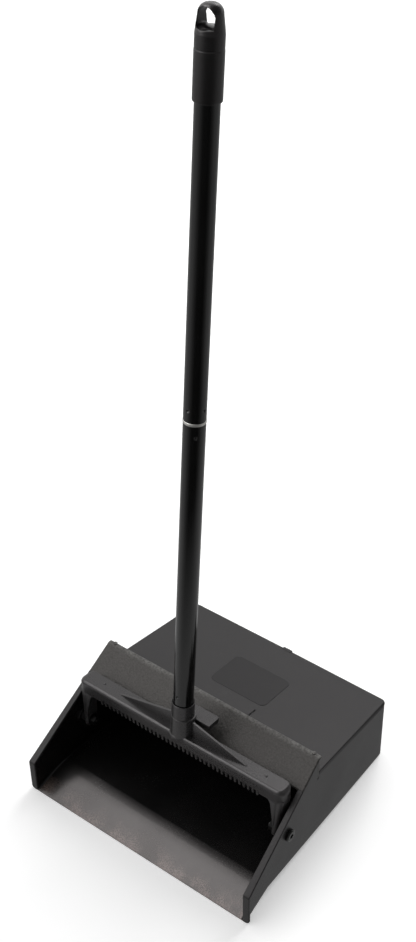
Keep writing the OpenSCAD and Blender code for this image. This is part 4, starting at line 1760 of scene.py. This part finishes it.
@dataclass
class HandleTubes(Assembly):
    """Two lacquered tubes with crimp dimples, and the bright ring between them."""

    radius: float = 0.011
    wall: float = 0.001
    lower: Pair = (0.073, 0.445)
    upper: Pair = (0.448, 0.780)
    lower_crimps: tuple[Pair, ...] = ((0.114, 0.0), (0.4325, 0.8), (0.4325, -1.6), (0.4325, 3.0))
    upper_crimps: tuple[Pair, ...] = ((0.4605, 0.0), (0.4605, 1.55), (0.4605, 3.1), (0.4605, -1.55))
    crimp_reach: float = 0.0022
    crimp_deep: float = 0.0012
    crimp_room: float = 1.1
    crimp_rows: int = 17
    rows: int = 24
    steps: int = 192
    ring_radius: float = 0.0113
    ring_bore: float = 0.0061
    ring_edge: float = 0.0005
    ring_steps: int = 128

    body = Body.HANDLE

    def tube(self, span: Pair, crimps: Sequence[Pair]) -> Shape:
        """Tube whose radius is lowered by a smooth bell at each crimp.

        The bell is the crimp's depth times the squared share of one minus the squared distance on the surface
        over the squared reach.

        Args:
            span: heights of its two ends.
            crimps: height of each crimp and its turn from the front.

        Returns:
            The closed wall.
        """
        room = self.crimp_reach * self.crimp_room
        marks = [np.linspace(c - room, c + room, self.crimp_rows) for c, _ in crimps]
        t = np.unique(np.concatenate([np.linspace(*span, self.rows), *marks]))
        heights = np.concatenate([t, t[::-1]])
        base = np.repeat([self.radius, self.radius - self.wall], len(t))
        height, turn = (column[:, None, None] for column in np.array(crimps).T)
        off = full_turn(self.steps) + RIGHT_ANGLE - turn
        around = self.radius * np.arctan2(np.sin(off), np.cos(off))
        gap = (heights[:, None] - height) ** 2 + around ** 2
        bell = (np.maximum(1 - gap / self.crimp_reach ** 2, 0) ** 2).sum(axis=0) * self.crimp_deep
        return turned(np.stack([base, heights], axis=1), self.steps, dents=bell).moved(HANDLE.place)

    def ring(self) -> Shape:
        """Ring with round outer edges, turned about the handle axis.

        Returns:
            The ring.
        """
        low, high, edge, out = self.lower[1], self.upper[0], self.ring_edge, self.ring_radius
        profile = np.concatenate([
            [(self.ring_bore, low)], quarter((out - edge, low + edge), edge, -1, 0),
            quarter((out - edge, high - edge), edge, 0, 1), [(self.ring_bore, high)]])
        return turned(profile, self.ring_steps).moved(HANDLE.place)

    def build(self) -> None:
        """Makes the tubes and the ring."""
        lacquer = TUBE_LACQUER.material()
        lower, upper = self.tube(self.lower, self.lower_crimps), self.tube(self.upper, self.upper_crimps)
        self.piece("handle_lower", lower, lacquer, Slot.TUBE, ["lower_tube"])
        self.piece("handle_upper", upper, lacquer, Slot.TUBE, ["upper_tube"])
        self.piece("handle_ring", self.ring(), RING_METAL.material(), Slot.RING, ["joint_ring"])


@dataclass
class HangerCap(Assembly):
    """Soft-edged cap with the hanging slot."""

    voxel: float = 0.0005
    passes: int = 8
    softness: float = 0.5

    body = Body.HANDLE
    crease = 180.0

    def build(self) -> None:
        """Makes the cap: the solid's own form, remeshed evenly and smoothed so that its edges turn soft."""
        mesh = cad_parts["hanger_cap"].data.copy()
        welded(mesh)
        draft = bpy.data.objects.new("cap_draft", mesh)
        bpy.context.scene.collection.objects.link(draft)
        remesh = draft.modifiers.new("even_mesh", "REMESH")
        remesh.mode, remesh.voxel_size = "VOXEL", self.voxel
        soft = draft.modifiers.new("soft_edges", "SMOOTH")
        soft.factor, soft.iterations = self.softness, self.passes
        smooth = bpy.data.meshes.new_from_object(draft.evaluated_get(bpy.context.evaluated_depsgraph_get()))
        bpy.data.objects.remove(draft)
        smooth.name = "hanging_cap"
        self.piece("hanging_cap", smooth, CAP_PLASTIC.material(), Slot.CAP, ["hanger_cap"])


@dataclass
class Hardware:
    """Screws, spacers, washers, nuts and plugs, which keep their solids and get finishes."""

    finishes: dict[str, MouldedPlastic | TurnedMetal] = field(default_factory=lambda: {
        "pivot_screw": SCREW_STEEL, "pivot_spacer": PLUG_PLASTIC, "pivot_washer": SHADED_WASHER_STEEL,
        "pivot_nut": SHADED_WASHER_STEEL, "base_plug": PLUG_PLASTIC, "joint_socket": PLUG_PLASTIC,
        "joint_stud": PLUG_PLASTIC})

    def build(self) -> None:
        """Dresses every node that no piece replaces."""
        made: dict[str, Material] = {}
        for name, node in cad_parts.items():
            finish = next((f for start, f in self.finishes.items() if name.startswith(start)), None)
            if finish is None:
                continue
            if finish.name not in made:
                made[finish.name] = finish.material()
            for slot in node.material_slots:
                slot.material = made[finish.name]
            LOG.info("%s: %s", name, finish.name)


# Stage


@dataclass(frozen=True)
class SoftBox:
    """Square lamp that either shows in reflections or lights matt surfaces, not both."""

    name: str
    spot: Triple
    aim: Triple
    side: float
    power: float
    mirrored: bool = True

    def hang(self) -> None:
        """Puts the lamp in its spot, facing its aim."""
        light = bpy.data.lights.new(self.name, "AREA")
        light.shape, light.size, light.energy = "SQUARE", self.side, self.power
        made = bpy.data.objects.new(self.name, light)
        made.location = self.spot
        made.visible_diffuse, made.visible_glossy = not self.mirrored, self.mirrored
        made.rotation_euler = (Vector(self.aim) - Vector(self.spot)).to_track_quat("-Z", "Y").to_euler()
        bpy.context.scene.collection.objects.link(made)


SOFT_BOXES = (
    SoftBox("overhead_box", (-0.84, -0.25, 2.2), (0.0, -0.1, 0.0), 1.0, 13.0),
    SoftBox("edge_box", (-0.95, -1.28, 1.38), (0.0, -0.05, 0.12), 0.8, 6.0),
    SoftBox("back_box", (-0.30, 1.30, 1.70), (0.0, -0.05, 0.12), 0.5, 3.5),
    SoftBox("fill_box", (-0.1, 2.0, 1.7), (0.0, 0.0, 0.0), 1.6, 44.0, mirrored=False))


@dataclass
class Stage:
    """Pale floor, soft light and the camera of the photograph."""

    sheet_half: float = 6.0
    sheet_rows: int = 9
    floor_level: float = -0.0002
    floor_tones: Pair = (0.86, 0.8772)
    floor_glow: float = 0.34
    card_level: float = -0.002
    card_near: float = 0.42
    card_far: Pair = (0.32, 0.012)
    card_reach: Pair = (0.34, 0.70)
    eye: Triple = (0.67816, -0.85579, 1.25672)
    forward: Triple = (-0.4758, 0.6325, -0.6112)
    right: Triple = (0.7996, 0.6005, -0.0010)
    lens: float = 54.654
    sensor: float = 36.0
    shift: Pair = (-0.03283, 0.01476)
    dark_side: Triple = (0.606, -0.795, 0.0)
    dark_span: Pair = (0.25, 0.9)
    sky: Pair = (1.0, 0.25)
    gap_side: Triple = (0.70, 0.30, 0.65)
    gap_span: Pair = (0.55, 0.75)
    gap: Pair = (1.0, 0.18)

    def sheet(self, name: str, height: float) -> tuple[bpy.types.Object, Nodes, Node]:
        """Lays a level grid that belongs to the studio.

        Args:
            name: name of the sheet and of its material.
            height: its height.

        Returns:
            The sheet, with the nodes and the shader of its material.
        """
        side = np.linspace(-self.sheet_half, self.sheet_half, self.sheet_rows)
        x, y = np.meshgrid(side, side, indexing="ij")
        points = np.stack([x, y, 0 * x + height], axis=-1).reshape(-1, 3)
        mesh = bpy.data.meshes.new(name)
        quads = lattice(self.sheet_rows, self.sheet_rows, ring=False)[:, ::-1]
        mesh.from_pydata(points.tolist(), [], quads.tolist())
        nodes, shader = principled(name)
        mesh.materials.append(bpy.data.materials[name])
        made = bpy.data.objects.new(name, mesh)
        bpy.context.scene.collection.objects.link(made)
        return made, nodes, shader

    def floor(self) -> None:
        """Makes the pale floor with a faint paper grain; mirrors see the studio card below it instead."""
        floor, nodes, shader = self.sheet("studio_floor", self.floor_level)
        tone, pale = self.floor_tones
        grain = MouldedGrain().put(nodes, Tone=grey(tone), Pale=grey(pale), Cloud_Scale=3.0,
                                   Grain_Scale=300.0, Fleck=0.2, Rough_Low=0.7, Rough_High=0.8)
        nodes.give(shader, Base_Color=grain["Color"], Roughness=grain["Roughness"], Specular_IOR_Level=0.2,
                   Emission_Color=grey(1.0), Emission_Strength=self.floor_glow)
        floor.visible_glossy = False

    def card(self) -> None:
        """Makes the card that reflections see: pale near the pan, grey beside it, dark towards the front."""
        _, nodes, shader = self.sheet("studio_card", self.card_level)
        place = nodes.place()
        reach = nodes.math("LENGTH", place, kind=VECTOR_MATH, output="Value")
        near = nodes.spread(reach, *self.card_reach, (1.0, 0.0))
        far = self.turned_away(nodes, place, self.dark_side, self.dark_span, self.card_far)
        nodes.give(shader, Base_Color=grey(0.0), Emission_Color=nodes.blend(near, far, grey(self.card_near)),
                   Emission_Strength=1.0)

    @staticmethod
    def turned_away(nodes: Nodes, place: Socket, side: Triple, span: Pair, levels: Pair) -> Socket:
        """Level of light in a direction: the first value all round, the second towards one side.

        Args:
            nodes: nodes to add to.
            place: direction.
            side: unit direction of that side.
            span: cosines from the side between which the level changes.
            levels: the two values.

        Returns:
            The level.
        """
        ahead = nodes.math("NORMALIZE", place, kind=VECTOR_MATH)
        toward = nodes.math("DOT_PRODUCT", ahead, side, kind=VECTOR_MATH, output="Value")
        return nodes.spread(toward, *span, levels)

    def light(self) -> None:
        """Makes the world, which is darker in front and in one gap, and hangs the soft boxes."""
        world = bpy.data.worlds.new("studio")
        world.use_nodes = True
        nodes = Nodes(world.node_tree)
        place = nodes.place("Generated")
        front = self.turned_away(nodes, place, self.dark_side, self.dark_span, self.sky)
        level = nodes.math("MULTIPLY", front,
                           self.turned_away(nodes, place, self.gap_side, self.gap_span, self.gap))
        seen = nodes.add("ShaderNodeLightPath").outputs["Is Camera Ray"]
        nodes.give(world.node_tree.nodes["Background"], Color=grey(1.0),
                   Strength=nodes.spread(seen, 0.0, 1.0, (level, self.sky[0])))
        bpy.context.scene.world = world
        bpy.context.scene.view_settings.view_transform = "Standard"
        for box in SOFT_BOXES:
            box.hang()

    def camera(self) -> None:
        """Sets up the camera from the fitted eye and axes."""
        data = bpy.data.cameras.new("photo_camera")
        data.sensor_fit, data.sensor_width, data.lens = "AUTO", self.sensor, self.lens
        data.shift_x, data.shift_y = self.shift
        camera = bpy.data.objects.new("photo_camera", data)
        ahead, side = Vector(self.forward).normalized(), Vector(self.right).normalized()
        up = side.cross(ahead)
        turn = Matrix((side, up, -ahead)).transposed()
        camera.matrix_world = Matrix.Translation(self.eye) @ turn.to_4x4()
        bpy.context.scene.collection.objects.link(camera)
        bpy.context.scene.camera = camera

    def build(self) -> None:
        """Makes floor, card, light and camera."""
        for step in (self.floor, self.card, self.light, self.camera):
            step()


def main() -> None:
    """Builds the stage and every sub-assembly."""
    logging.basicConfig(level=logging.INFO, format="%(name)s: %(message)s")
    for part in (Stage(), PanBody(), FrontPanel(), LidCover(), Yoke(), HandleTubes(), HangerCap(),
                 Hardware()):
        LOG.info("building %s", type(part).__name__)
        part.build()


if __name__ == "__main__":
    main()
